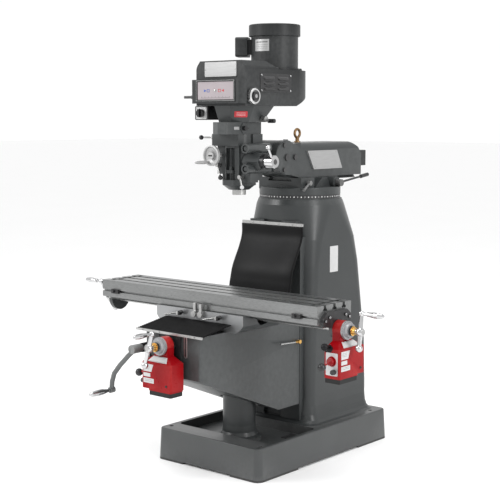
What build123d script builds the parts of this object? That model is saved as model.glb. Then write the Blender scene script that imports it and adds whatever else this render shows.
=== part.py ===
from build123d import *
import os

# Knee-type vertical turret milling machine.
# Millimetres. +X to the operator's right, +Y to the back, +Z up.
# The origin is on the floor, at the centre of the four anchor holes.

os.makedirs("parts", exist_ok=True)

# ---- base and column
BASE_X = 604.0
BASE_Y = 973.0
BASE_H = 144.0
BASE_CY = 19.0
BASE_DRAFT = 3.1
ANCHOR_X = 262.0
ANCHOR_Y = 410.0
ANCHOR_R = 10.0
FOOT_H = 8.0
PAN_Z = 100.0
COL_X = 200.0
COL_FRONT = 19.0
COL_TOP = 1164.0
WAY_Y = -8.0
WAY_X = 160.0
WAY_TOP = 1072.0

# ---- knee, saddle, table
KNEE_X = 158.0
KNEE_TOP = 638.0
KNEE_FRONT = -671.0
KNEE_BACK = -8.5
SADDLE_X = 251.0
SADDLE_FRONT = -509.0
SADDLE_BACK = -228.0
TABLE_X = 622.5
TABLE_Y = -375.5
TABLE_HY = 114.5
TABLE_TOP = 792.0
TABLE_BOT = 715.5
SLOT_PITCH = 63.5
SLOT_W = 16.0
SCREW_Z = 691.0
FEED_Z = 594.0
FEED_Y0 = -683.0

# ---- turret, ram, head
TURRET_Y = 193.0
TURRET_R = 190.0
BLOCK_TOP = 1264.0
RAM_BOT = 1264.5
RAM_TOP = 1423.0
NOD_Y = -33.0
NOD_Z = 1359.0
SPINDLE_Y = -243.0
QUILL_R = 43.0
SPINDLE_R = 28.0
MOTOR_Y = 3.0
MOTOR_R = 106.0
BELT_X = 140.0
BELT_FRONT = -365.0
BELT_BOT = 1587.0
BELT_TOP = 1745.0


# ================================================================ base and column
def make_base():
    with BuildPart() as base:
        with BuildSketch():
            with Locations((0, BASE_CY)):
                RectangleRounded(BASE_X, BASE_Y, 34)
        extrude(amount=BASE_H, taper=BASE_DRAFT)
        fillet(base.faces().sort_by(Axis.Z)[-1].edges(), 6)
        # coolant pan in front of the column
        with BuildSketch(Plane.XY.offset(PAN_Z)):
            with Locations((0, -192)):
                RectangleRounded(540, 334, 26)
        extrude(amount=BASE_H, mode=Mode.SUBTRACT)
        # closed coolant tank inside the casting
        with Locations((0, -150, 54)):
            Box(430, 420, 60, mode=Mode.SUBTRACT)
        with Locations((0, 260, 74)):
            Box(430, 340, 100, mode=Mode.SUBTRACT)
        # the underside is relieved so that it stands on four corner feet
        with Locations((0, BASE_CY, FOOT_H / 2)):
            Box(278, BASE_Y, FOOT_H, mode=Mode.SUBTRACT)
        with Locations((0, 32, FOOT_H / 2)):
            Box(BASE_X, 456, FOOT_H, mode=Mode.SUBTRACT)
        with Locations((0, 0, BASE_H)):
            with GridLocations(2 * ANCHOR_X, 2 * ANCHOR_Y, 2, 2):
                Hole(ANCHOR_R)
        # well for the elevating screw
        with Locations((0, SPINDLE_Y, PAN_Z - 30)):
            Cylinder(24, 80, mode=Mode.SUBTRACT)
        with Locations((0, SPINDLE_Y, 54)):
            Cylinder(34, 64)
        with Locations((0, SPINDLE_Y, 60)):
            Cylinder(24, 100, mode=Mode.SUBTRACT)
    base.part.label = "base"
    export_step(base.part, "parts/base.step")


def column_section(z, half, front, back, r):
    """One horizontal outline of the column, a rounded rectangle."""
    with BuildSketch(Plane.XY.offset(z)) as outline:
        with Locations((0, (front + back) / 2)):
            RectangleRounded(2 * half, back - front, r)
    return outline


def make_column():
    # (height, half width, front, back, corner radius) from the flared foot to the round top
    skirt = [
        (BASE_H, 246, -24, 490, 62),
        (149, 232, -12, 484, 58),
        (160, 220, 0, 480, 54),
        (182, 209, 9, 478, 48),
        (220, 202, 16, 478, 42),
        (262, COL_X, COL_FRONT, 480, 40),
    ]
    shaft = [
        (262, COL_X, COL_FRONT, 480, 40),
        (480, COL_X, COL_FRONT, 474, 46),
        (866, COL_X, COL_FRONT, 422, 60),
        (985, COL_X, 14, 410, 90),
        (1140, COL_X, -6, 398, 192),
        (COL_TOP, 191, 3, 388, 184),
    ]
    hollow = [
        (180, 182, 44, 452, 30),
        (866, 182, 44, 398, 40),
        (985, 176, 44, 386, 70),
        (1120, 140, 60, 330, 110),
    ]
    with BuildPart() as column:
        for lower, upper in zip(skirt, skirt[1:]):
            loft([column_section(*lower).sketch, column_section(*upper).sketch], ruled=True)
        for lower, upper in zip(shaft, shaft[1:]):
            loft([column_section(*lower).sketch, column_section(*upper).sketch], ruled=True)
        for lower, upper in zip(hollow, hollow[1:]):
            loft([column_section(*lower).sketch, column_section(*upper).sketch],
                 ruled=True, mode=Mode.SUBTRACT)
        # vertical way block with the dovetail slot that guides the knee
        with BuildSketch(Plane.XY.offset(160)):
            with BuildLine():
                Polyline(
                    (-WAY_X, WAY_Y), (-50, WAY_Y), (-66, WAY_Y + 17), (66, WAY_Y + 17), (50, WAY_Y),
                    (WAY_X, WAY_Y), (WAY_X, 30), (-WAY_X, 30), close=True,
                )
            make_face()
        extrude(amount=840)
        with BuildSketch(Plane.XY.offset(1000)):
            with BuildLine():
                Polyline(
                    (-134, WAY_Y), (-50, WAY_Y), (-66, WAY_Y + 17), (66, WAY_Y + 17), (50, WAY_Y),
                    (134, WAY_Y), (134, 60), (-134, 60), close=True,
                )
            make_face()
        extrude(amount=WAY_TOP - 1000)
        with BuildSketch(Plane.XY.offset(160)):
            with BuildLine():
                Polyline(
                    (-50, WAY_Y - 30), (-50, WAY_Y), (-66, WAY_Y + 17), (66, WAY_Y + 17),
                    (50, WAY_Y), (50, WAY_Y - 30), close=True,
                )
            make_face()
        extrude(amount=WAY_TOP - 160, mode=Mode.SUBTRACT)
    column.part.label = "column"
    export_step(column.part, "parts/column.step")


def make_pedestal():
    with BuildPart() as pedestal:
        with BuildSketch(Plane.XZ) as profile:
            with BuildLine():
                Polyline(
                    (20.4, PAN_Z), (100, PAN_Z), (100, 116), (84, 124), (76, 140), (73.5, 170),
                    (73.5, 352), (69, 362), (20.4, 362), close=True,
                )
            make_face()
        revolve(axis=Axis.Z)
        with Locations((0, 0, 116)):
            with PolarLocations(90, 4, 45):
                Cylinder(6, 10)
    pedestal.part.position = (0, SPINDLE_Y, 0)
    pedestal.part.label = "pedestal"
    export_step(pedestal.part, "parts/pedestal.step")


def make_clamp_bar():
    with BuildPart() as clamp_bar:
        with BuildSketch(Plane.XZ.offset(-WAY_Y)):
            with Locations((0, 1056)):
                RectangleRounded(356, 14, 3)
        extrude(amount=6)
        with Locations((0, WAY_Y - 7, 1056)):
            with GridLocations(78, 0.001, 4, 1):
                Cylinder(4, 3, rotation=(90, 0, 0))
    clamp_bar.part.label = "clamp_bar"
    export_step(clamp_bar.part, "parts/clamp_bar.step")


def make_rear_cover():
    """Rubber sheet from the clamp bar down and forward to the back of the saddle."""
    drop = [(-16, 1049), (-19, 1000), (-40, 950), (-88, 862), (-104, 800), (-118, 735), (-150, 688),
            (-190, 668), (-227.7, 664)]
    with BuildPart() as rear_cover:
        with BuildSketch(Plane.YZ.offset(-179)):
            with BuildLine() as path:
                Spline(*drop)
            trace(path.line, line_width=3)
        extrude(amount=358)
    rear_cover.part.label = "rear_way_cover"
    export_step(rear_cover.part, "parts/rear_way_cover.step")


# ================================================================ knee
def make_knee():
    low = 238.0
    with BuildPart() as knee:
        with BuildSketch(Plane.YZ.offset(-KNEE_X)):
            with BuildLine():
                Polyline(
                    (KNEE_BACK, KNEE_TOP), (KNEE_FRONT, KNEE_TOP), (KNEE_FRONT, 452),
                    (KNEE_FRONT + 28, 436), (-158, low), (KNEE_BACK, low), close=True,
                )
            make_face()
        extrude(amount=2 * KNEE_X)
        fillet(knee.edges().filter_by(Axis.Z).group_by(Axis.Y)[0], 8)
        # open casting: a front pocket, a back pocket and the bore over the elevating screw
        with BuildSketch(Plane.YZ.offset(-KNEE_X + 16)):
            with BuildLine():
                Polyline(
                    (-346, 612), (KNEE_FRONT + 22, 612), (KNEE_FRONT + 22, 466), (-346, 338),
                    close=True,
                )
            make_face()
        extrude(amount=2 * KNEE_X - 32, mode=Mode.SUBTRACT)
        with Locations((0, -90, 430)):
            Box(2 * KNEE_X - 32, 110, 330, mode=Mode.SUBTRACT)
        with Locations((0, SPINDLE_Y, 200)):
            Cylinder(86, 250, align=(Align.CENTER, Align.CENTER, Align.MIN), mode=Mode.SUBTRACT)
        with Locations((0, SPINDLE_Y, 440)):
            Cylinder(20.05, 170, align=(Align.CENTER, Align.CENTER, Align.MIN), mode=Mode.SUBTRACT)
        # dovetail tongue in the column slot
        with BuildSketch(Plane.XY.offset(244)):
            with BuildLine():
                Polyline((-49.2, KNEE_BACK), (-65, 8.5), (65, 8.5), (49.2, KNEE_BACK), close=True)
            make_face()
        extrude(amount=KNEE_TOP - 244)
        # upper way rail for the saddle
        with BuildSketch(Plane.XZ.offset(20)):
            with BuildLine():
                Polyline((-70, KNEE_TOP), (-84, KNEE_TOP + 16), (84, KNEE_TOP + 16), (70, KNEE_TOP),
                         close=True)
            make_face()
        extrude(amount=550)
        # tall slot in the front wall
        with BuildSketch(Plane.XZ.offset(-KNEE_FRONT)):
            with Locations((76, 590)):
                SlotOverall(90, 10, rotation=90)
        extrude(amount=-6, mode=Mode.SUBTRACT)
        # bores for the cross-feed and elevating shafts
        with Locations((0, KNEE_FRONT + 11, FEED_Z)):
            Cylinder(14.05, 24, rotation=(90, 0, 0), mode=Mode.SUBTRACT)
        with Locations((-125, KNEE_FRONT + 11, 570)):
            Cylinder(12.05, 24, rotation=(90, 0, 0), mode=Mode.SUBTRACT)
        # clamp lever screw hole near the column
        with Locations((KNEE_X - 8, -26, 530)):
            Cylinder(6.05, 30, rotation=(0, 90, 0), mode=Mode.SUBTRACT)
    knee.part.label = "knee"
    export_step(knee.part, "parts/knee.step")


def make_knee_plate():
    with BuildPart() as knee_plate:
        with BuildSketch(Plane.XZ.offset(-KNEE_FRONT)):
            with Locations((-14, 552)):
                RectangleRounded(136, 166, 8)
            with Locations((0, FEED_Z)):
                Circle(14.5, mode=Mode.SUBTRACT)
        extrude(amount=12)
        # bearing boss about the cross-feed screw
        with BuildSketch(Plane.XZ.offset(12 - KNEE_FRONT)):
            with Locations((0, FEED_Z)):
                Circle(30)
                Circle(14.5, mode=Mode.SUBTRACT)
        extrude(amount=16)
        with Locations((-14, KNEE_FRONT - 13, 552)):
            with GridLocations(108, 0.001, 2, 1):
                with Locations((0, 0, 70), (0, 0, -70)):
                    Cylinder(6, 4, rotation=(90, 0, 0))
    knee_plate.part.label = "knee_plate"
    export_step(knee_plate.part, "parts/knee_plate.step")


def make_elevating_screw():
    with BuildPart() as elevating_screw:
        with BuildSketch(Plane.XZ):
            with BuildLine():
                Polyline((0, 76), (18, 76), (20, 80), (20, 608), (0, 608), close=True)
            make_face()
        revolve(axis=Axis.Z)
    elevating_screw.part.position = (0, SPINDLE_Y, 0)
    elevating_screw.part.label = "elevating_screw"
    export_step(elevating_screw.part, "parts/elevating_screw.step")


def make_knee_clamp():
    with BuildPart() as knee_clamp:
        with Locations((KNEE_X + 2, -26, 530)):
            Cylinder(6, 20, rotation=(0, 90, 0))
        with Locations((KNEE_X + 14, -26, 530)):
            Cylinder(9, 12, rotation=(0, 90, 0))
        with BuildSketch(Plane((KNEE_X + 14, -32, 530), x_dir=(1, 0, 0), z_dir=(0.06, -0.99, 0.07))):
            Circle(4)
        extrude(amount=140)
    knee_clamp.part.label = "knee_clamp_lever"
    export_step(knee_clamp.part, "parts/knee_clamp_lever.step")


def make_front_cover():
    """Pleated cover over the front of the knee."""
    pleats = 15
    depth = 180.0 / pleats
    top = []
    for i in range(pleats):
        y = -691 + depth * i
        z = 643 + 29 * i / pleats
        top += [(y, z - 3), (y + depth / 2, z + 4)]
    bottom = [(y, z - 3) for y, z in reversed(top)]
    with BuildPart() as front_cover:
        with BuildSketch(Plane.YZ.offset(-189)):
            with BuildLine():
                Polyline(*top, (-511.5, 669), (-511.5, 666), *bottom, close=True)
            make_face()
        extrude(amount=378)
        # metal strip along the front edge
        with Locations((0, -693.5, 640.5)):
            Box(384, 5, 11)
    front_cover.part.label = "front_way_cover"
    export_step(front_cover.part, "parts/front_way_cover.step")


def make_knee_crank():
    arm = [(-125, 570), (-170, 534), (-222, 486), (-258, 446), (-272, 408), (-275, 372)]
    with BuildPart() as knee_crank:
        with Locations((-125, -716, 570)):
            Cylinder(12, 92, rotation=(90, 0, 0))
        with Locations((-125, -762, 570)):
            Cylinder(19, 54, rotation=(90, 0, 0))
        for start, end in zip(arm, arm[1:]):
            leg = Vector(end[0] - start[0], 0, end[1] - start[1])
            with BuildSketch(Plane(origin=(start[0], -764, start[1]), x_dir=(0, 1, 0), z_dir=leg)):
                Circle(10.5)
            extrude(amount=leg.length)
            with Locations((end[0], -764, end[1])):
                Sphere(10.5)
        with Locations((arm[-1][0], -764, arm[-1][1])):
            Cylinder(13, 24, rotation=(90, 0, 0))
        with Locations((-125, -699.5, 570)):
            Cylinder(20, 55, rotation=(90, 0, 0))
        # turned handle parallel to the shaft
        with BuildSketch(Plane.YZ.offset(-275)):
            with BuildLine():
                Polyline((-776, 372), (-776, 379), (-790, 380), (-818, 385), (-848, 386), (-880, 383),
                         (-892, 377), (-893, 372), close=True)
            make_face()
        revolve(axis=Axis((-275, 0, 372), (0, 1, 0)))
    knee_crank.part.label = "knee_crank"
    export_step(knee_crank.part, "parts/knee_crank.step")


# ================================================================ saddle and table
def make_saddle():
    with BuildPart() as saddle:
        with BuildSketch(Plane.XZ.offset(-SADDLE_BACK)):
            with BuildLine():
                Polyline(
                    (-SADDLE_X, 715), (SADDLE_X, 715), (SADDLE_X, 672), (SADDLE_X - 14, 656),
                    (SADDLE_X - 40, KNEE_TOP + 1), (71, KNEE_TOP + 1), (86, KNEE_TOP + 17),
                    (-86, KNEE_TOP + 17), (-71, KNEE_TOP + 1), (40 - SADDLE_X, KNEE_TOP + 1),
                    (14 - SADDLE_X, 656), (-SADDLE_X, 672), close=True,
                )
            make_face()
        extrude(amount=SADDLE_BACK - SADDLE_FRONT)
        # half-round tunnel for the table screw
        with Locations((0, TABLE_Y, 708)):
            Cylinder(46, 2 * SADDLE_X, rotation=(0, 90, 0), mode=Mode.SUBTRACT)
        # female ways for the table
        with BuildSketch(Plane.YZ.offset(-SADDLE_X)):
            with BuildLine():
                Polyline(
                    (TABLE_Y - 72, 716), (TABLE_Y - 80, 700.4), (TABLE_Y + 80, 700.4),
                    (TABLE_Y + 72, 716), close=True,
                )
            make_face()
        extrude(amount=2 * SADDLE_X, mode=Mode.SUBTRACT)
        # clamp screw holes in the front
        with Locations((-95, SADDLE_FRONT + 8, 697), (128, SADDLE_FRONT + 8, 697)):
            Cylinder(5.05, 24, rotation=(90, 0, 0), mode=Mode.SUBTRACT)
    saddle.part.label = "saddle"
    export_step(saddle.part, "parts/saddle.step")


def make_stop_bracket():
    with BuildPart() as stop_bracket:
        for x, z0, z1 in ((-14, 702, 756), (20, 706, 752)):
            with BuildSketch(Plane.XZ.offset(-SADDLE_FRONT)):
                with Locations((x, (z0 + z1 - 8) / 2)):
                    Rectangle(14, z1 - z0 - 8)
            extrude(amount=12)
        with Locations((3, SADDLE_FRONT - 6, 700)):
            Box(58, 12, 12)
        with Locations((-16, SADDLE_FRONT - 15, 700), (22, SADDLE_FRONT - 15, 700)):
            Cylinder(13, 8, rotation=(90, 0, 0))
    stop_bracket.part.label = "stop_bracket"
    export_step(stop_bracket.part, "parts/stop_bracket.step")


def make_saddle_levers():
    for name, x in (("saddle_lever_left", -95), ("saddle_lever_right", 128)):
        with BuildPart() as lever:
            with Locations((x, SADDLE_FRONT, 697)):
                Cylinder(5, 30, rotation=(90, 0, 0))
            with Locations((x, SADDLE_FRONT - 21, 697)):
                Cylinder(10, 18, rotation=(90, 0, 0))
            rod = Plane((x, SADDLE_FRONT - 22, 700), x_dir=(0, 1, 0), z_dir=(-0.97, -0.05, -0.2))
            with BuildSketch(rod):
                Circle(3.5)
            extrude(amount=82)
            with Locations((x + 13, SADDLE_FRONT - 22, 703)):
                Sphere(8)
        lever.part.label = name
        export_step(lever.part, "parts/" + name + ".step")


def make_table():
    with BuildPart() as table:
        with Locations((0, TABLE_Y, (TABLE_TOP + TABLE_BOT) / 2)):
            Box(2 * TABLE_X, 2 * TABLE_HY, TABLE_TOP - TABLE_BOT)
        chamfer(table.edges().filter_by(Axis.X), 1.5)
        # three T-slots along the top
        for y in (TABLE_Y - SLOT_PITCH, TABLE_Y, TABLE_Y + SLOT_PITCH):
            with Locations((0, y, TABLE_TOP - 7)):
                Box(2 * TABLE_X, SLOT_W, 14.01, mode=Mode.SUBTRACT)
            with Locations((0, y, TABLE_TOP - 19)):
                Box(2 * TABLE_X, 28, 10, mode=Mode.SUBTRACT)
        # coolant troughs across both ends and beside the slots
        with Locations((-578, TABLE_Y, TABLE_TOP - 5), (578, TABLE_Y, TABLE_TOP - 5)):
            Box(20, 196, 10.01, mode=Mode.SUBTRACT)
        # stop slot along the front face
        with Locations((0, TABLE_Y - TABLE_HY + 6, 745)):
            Box(2 * TABLE_X, 12.01, 9, mode=Mode.SUBTRACT)
        # two dovetail rails underneath, with the screw channel between them
        with BuildSketch(Plane.YZ.offset(-TABLE_X)):
            with BuildLine():
                Polyline((TABLE_Y - 71, TABLE_BOT), (TABLE_Y - 78.6, 701), (TABLE_Y - 50, 701),
                         (TABLE_Y - 50, TABLE_BOT), close=True)
            make_face()
            with BuildLine():
                Polyline((TABLE_Y + 71, TABLE_BOT), (TABLE_Y + 78.6, 701), (TABLE_Y + 50, 701),
                         (TABLE_Y + 50, TABLE_BOT), close=True)
            make_face()
        extrude(amount=2 * TABLE_X)
    table.part.label = "table"
    export_step(table.part, "parts/table.step")


def make_stop_dogs():
    with BuildPart() as stop_dogs:
        for x in (-533, 522):
            with Locations((x, TABLE_Y - TABLE_HY - 5, 745)):
                Box(44, 10, 20)
            with Locations((x - 8, TABLE_Y - TABLE_HY - 14, 745)):
                Cylinder(7, 8, rotation=(90, 0, 0))
    stop_dogs.part.label = "table_stop_dogs"
    export_step(stop_dogs.part, "parts/table_stop_dogs.step")


def make_end_bracket():
    """Bearing bracket on the left end of the table."""
    with BuildPart() as end_bracket:
        with BuildSketch(Plane.YZ.offset(-TABLE_X - 20)):
            with Locations((TABLE_Y, SCREW_Z + 4)):
                Circle(56)
            with Locations((TABLE_Y, 728)):
                RectangleRounded(150, 60, 12)
            with Locations((TABLE_Y, SCREW_Z)):
                Circle(12.06, mode=Mode.SUBTRACT)
        extrude(amount=20)
    end_bracket.part.label = "left_end_bracket"
    export_step(end_bracket.part, "parts/left_end_bracket.step")


def make_adapter_plate():
    """Black lobed plate that carries the power feed on the right end of the table."""
    with BuildPart() as adapter_plate:
        with BuildSketch(Plane.YZ.offset(TABLE_X)):
            with BuildLine():
                Polyline(
                    (TABLE_Y - 66, 766), (TABLE_Y + 66, 766), (TABLE_Y + 96, 742),
                    (TABLE_Y + 96, 722), (TABLE_Y + 70, 706), (TABLE_Y + 40, 700),
                    (TABLE_Y + 26, 660), (TABLE_Y - 26, 660), (TABLE_Y - 40, 700),
                    (TABLE_Y - 70, 706), (TABLE_Y - 96, 722), (TABLE_Y - 96, 742), close=True,
                )
            make_face()
            with Locations((TABLE_Y, SCREW_Z)):
                Circle(12.06, mode=Mode.SUBTRACT)
        extrude(amount=16)
        fillet(adapter_plate.edges().filter_by(Axis.X).filter_by(GeomType.LINE), 9)
        with Locations((TABLE_X + 18, TABLE_Y - 54, 744), (TABLE_X + 18, TABLE_Y + 54, 744),
                       (TABLE_X + 18, TABLE_Y - 80, 732), (TABLE_X + 18, TABLE_Y + 80, 732)):
            Cylinder(7, 4, rotation=(0, 90, 0))
            Cylinder(3.5, 4.01, rotation=(0, 90, 0), mode=Mode.SUBTRACT)
    adapter_plate.part.label = "adapter_plate"
    export_step(adapter_plate.part, "parts/adapter_plate.step")


def make_table_screw():
    with BuildPart() as table_screw:
        with Locations((26, TABLE_Y, SCREW_Z)):
            Cylinder(12, 1476, rotation=(0, 90, 0))
        with Locations((-666, TABLE_Y, SCREW_Z)):
            Cylinder(30, 26, rotation=(0, 90, 0))
    table_screw.part.label = "table_screw"
    export_step(table_screw.part, "parts/table_screw.step")


def ball_cranks(name, cranks):
    """Chrome ball cranks: hub, tapered arm with a ball below and a turned grip on top."""
    with BuildPart() as crank:
        for hub, out, up, long_arm, short_arm in cranks:
            along = up.normalized()
            top = hub + along * long_arm
            low = hub - along * short_arm
            with Locations(hub):
                Sphere(19)
            for end in (top, low):
                with BuildSketch(Plane(origin=hub, x_dir=out, z_dir=end - hub)):
                    Circle(11)
                with BuildSketch(Plane(origin=end, x_dir=out, z_dir=end - hub)):
                    Circle(8)
                loft()
            with Locations(low):
                Sphere(15)
            with Locations(top):
                Sphere(12)
            with BuildSketch(Plane(origin=top, x_dir=along, z_dir=along.cross(out))):
                with BuildLine():
                    Polyline((0, 0), (6, 0), (6, 26), (9, 28), (9, 36), (12, 60), (12, 78), (9, 98),
                             (4, 106), (0, 107), close=True)
                make_face()
            revolve(axis=Axis(top, out))
            with Locations(Plane(origin=hub, z_dir=out)):
                Cylinder(12, 60, mode=Mode.SUBTRACT)
    crank.part.label = name
    export_step(crank.part, "parts/" + name + ".step")


def feed_unit(tag, base_lo, base_hi):
    """Power feed with its shaft along local +X from the mounting plate at x = 0.

    The control panel faces local -Y.
    """
    place = FEED_PLACES[tag]
    with BuildPart() as housing:
        # box with sloping shoulders below the shaft
        with BuildSketch(Plane.XY.offset(-180)):
            with Locations((49, 3)):
                RectangleRounded(78, 170, 7)
        extrude(amount=112)
        with BuildSketch(Plane.XY.offset(-68)):
            with Locations((49, 3)):
                RectangleRounded(78, 170, 7)
        with BuildSketch(Plane.XY.offset(-40)):
            with Locations((38, 0)):
                RectangleRounded(40, 72, 7)
        loft(ruled=True)
        with BuildSketch(Plane.XY.offset(-187)):
            with Locations((49, (base_lo + base_hi) / 2)):
                RectangleRounded(78, base_hi - base_lo, 7)
        extrude(amount=8)
        with BuildSketch(Plane.XY.offset(-206)):
            with Locations((49, (base_lo + base_hi) / 2)):
                RectangleRounded(74, base_hi - base_lo - 4, 6)
        extrude(amount=19.5)
        # short stem and ball knob on the front shoulder
        with Locations((29, -78, -58)):
            Cylinder(5, 44, rotation=(90, 0, 0))
        with Locations((29, -104, -58)):
            Sphere(15)
        # round neck about the shaft
        with BuildSketch(Plane.YZ.offset(18)):
            Circle(38)
            with Locations((0, -30)):
                Rectangle(74, 44)
        extrude(amount=40)
        with BuildSketch(Plane.YZ.offset(16.2)):
            Circle(30)
        extrude(amount=2)
        with BuildSketch(Plane.YZ.offset(16)):
            Circle(12.06)
        extrude(amount=50, mode=Mode.SUBTRACT)
        # blind holes for the lever and the speed knob
        with Locations((50, -75, -116)):
            Cylinder(6.06, 30, rotation=(90, 0, 0), mode=Mode.SUBTRACT)
        with Locations((66, -75, -156)):
            Cylinder(4.06, 30, rotation=(90, 0, 0), mode=Mode.SUBTRACT)
        with Locations((84, 60, -158)):
            Cylinder(5, 12, rotation=(0, 90, 0), mode=Mode.SUBTRACT)
    with BuildPart() as dial:
        with BuildSketch(Plane.XZ):
            with BuildLine():
                Polyline((58.3, 12), (58.3, 38), (70, 38), (71, 31), (84, 29), (84, 20), (94, 20),
                         (95, 15), (108, 14), (108, 12), close=True)
            make_face()
        revolve(axis=Axis.X)
    with BuildPart() as lever:
        with Locations((50, -81, -116)):
            Cylinder(6, 18, rotation=(90, 0, 0))
        with Locations((50, -94, -116)):
            Cylinder(15, 12, rotation=(90, 0, 0))
        with BuildSketch(Plane((50, -96, -116), x_dir=(1, 0, 0), z_dir=(-0.1, -0.94, -0.32))):
            Circle(3.5)
        extrude(amount=48)
        with Locations((45, -142, -132)):
            Sphere(16.5)
    with BuildPart() as knob:
        with Locations((66, -81, -156)):
            Cylinder(4, 18, rotation=(90, 0, 0))
        with Locations((66, -95.5, -156)):
            Cylinder(10.5, 14, rotation=(90, 0, 0))
        with Locations((62, -95.5, -161)):
            Box(14, 14, 5)
    for piece, name in ((housing, "housing"), (dial, "dial"), (lever, "lever"), (knob, "speed_knob")):
        placed = piece.part.moved(place)
        placed.label = tag + "_feed_" + name
        export_step(placed, "parts/" + placed.label + ".step")


FEED_PLACES = {
    "x": Location((TABLE_X, TABLE_Y, SCREW_Z)),
    "y": Location((0, FEED_Y0, FEED_Z), (0, 0, -90)),
}


def make_cross_screw():
    with BuildPart() as cross_screw:
        with Locations((0, FEED_Y0 - 45, FEED_Z)):
            Cylinder(12, 190, rotation=(90, 0, 0))
    cross_screw.part.label = "cross_screw"
    export_step(cross_screw.part, "parts/cross_screw.step")


# ================================================================ turret and ram
def make_turret():
    with BuildPart() as turret:
        with Locations((0, TURRET_Y, COL_TOP + 0.3)):
            Cylinder(TURRET_R, 55, align=(Align.CENTER, Align.CENTER, Align.MIN))
        fillet(turret.faces().sort_by(Axis.Z)[-1].edges(), 5)
        # front block and the saddle behind it that carry the ram
        with Locations((0, 92, 1236.5)):
            Box(248, 98, 55)
        with Locations((0, 236, 1239)):
            Box(200, 236, 50)
        for side in (-1, 1):
            with BuildSketch(Plane.YZ.offset(100 * side)):
                with BuildLine():
                    Polyline((150, 1215), (150, 1222), (196, 1262), (236, 1262), (262, 1215), close=True)
                make_face()
            extrude(amount=28 * side)
        # pinion boss on the right
        with Locations((113, 279, 1236)):
            Cylinder(27, 74, rotation=(0, 90, 0))
        # dovetail slot for the ram
        with BuildSketch(Plane.XZ.offset(-356)):
            with BuildLine():
                Polyline((-58, BLOCK_TOP + 1), (-70, BLOCK_TOP - 16), (70, BLOCK_TOP - 16),
                         (58, BLOCK_TOP + 1), close=True)
            make_face()
        extrude(amount=330, mode=Mode.SUBTRACT)
        # bores for the pinion shaft and the ram clamps
        with Locations((140, 279, 1236)):
            Cylinder(10.05, 40, rotation=(0, 90, 0), mode=Mode.SUBTRACT)
        with Locations((118, 92, 1240)):
            Cylinder(7.05, 30, rotation=(0, 90, 0), mode=Mode.SUBTRACT)
        # shallow groove for the degree band
        with BuildSketch(Plane.XY.offset(1169)):
            with Locations((0, TURRET_Y)):
                Circle(TURRET_R + 2)
                Circle(TURRET_R - 2, mode=Mode.SUBTRACT)
        extrude(amount=17, mode=Mode.SUBTRACT)
    turret.part.label = "turret"
    export_step(turret.part, "parts/turret.step")


def make_turret_levers():
    with BuildPart() as pinion_lever:
        with Locations((142, 279, 1236)):
            Cylinder(10, 30, rotation=(0, 90, 0))
        with Locations((165, 279, 1236)):
            Cylinder(16.3, 29.4, rotation=(0, 90, 0))
        with BuildSketch(Plane((165, 279, 1236), x_dir=(1, 0, 0), z_dir=(0, 0.99, 0.13))):
            Circle(5)
        extrude(amount=215)
        with BuildSketch(Plane((165, 450, 1258.5), x_dir=(1, 0, 0), z_dir=(0, 0.99, 0.13))):
            Circle(9)
        extrude(amount=58)
    pinion_lever.part.label = "ram_pinion_lever"
    export_step(pinion_lever.part, "parts/ram_pinion_lever.step")
    with BuildPart() as clamp_lever:
        with Locations((119, 92, 1240)):
            Cylinder(7, 28, rotation=(0, 90, 0))
        with Locations((134, 92, 1240)):
            Cylinder(11, 18, rotation=(0, 90, 0))
        with BuildSketch(Plane((134, 92, 1240), x_dir=(1, 0, 0), z_dir=(0.25, -0.88, -0.4))):
            Circle(6)
        extrude(amount=74)
    clamp_lever.part.label = "ram_clamp_lever"
    export_step(clamp_lever.part, "parts/ram_clamp_lever.step")


def make_ram():
    with BuildPart() as ram:
        with BuildSketch(Plane.YZ.offset(-100)):
            with BuildLine():
                Polyline((NOD_Y, RAM_TOP - 10), (70, RAM_TOP), (474, RAM_TOP), (520, RAM_TOP - 26),
                         (545, 1366), (545, RAM_BOT), (60, RAM_BOT), (0, 1280), (NOD_Y, 1282),
                         close=True)
            make_face()
            with Locations((NOD_Y, NOD_Z)):
                Circle(77)
        extrude(amount=200)
        # rounded shoulders along the top
        with BuildSketch(Plane.XZ.offset(-560)):
            with Locations((0, RAM_TOP - 15)):
                Rectangle(210, 40)
            with Locations((0, RAM_TOP - 60)):
                RectangleRounded(200, 120, 32, mode=Mode.SUBTRACT)
        extrude(amount=490, mode=Mode.SUBTRACT)
        # fork for the adapter, round at the back
        with BuildSketch(Plane.YZ.offset(-64)):
            with Locations((NOD_Y, NOD_Z)):
                Circle(79)
            with Locations((NOD_Y - 60, NOD_Z)):
                Rectangle(120, 200)
            with Locations((NOD_Y + 20, NOD_Z + 70)):
                Rectangle(80, 60)
        extrude(amount=128, mode=Mode.SUBTRACT)
        # dovetail rail underneath
        with BuildSketch(Plane.XZ.offset(-540)):
            with BuildLine():
                Polyline((-57, RAM_BOT), (-68.6, BLOCK_TOP - 15), (68.6, BLOCK_TOP - 15), (57, RAM_BOT),
                         close=True)
            make_face()
        extrude(amount=480)
        # hollow middle
        with Locations((0, 300, 1342)):
            Box(150, 380, 110, mode=Mode.SUBTRACT)
    ram.part.label = "ram"
    export_step(ram.part, "parts/ram.step")


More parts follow.
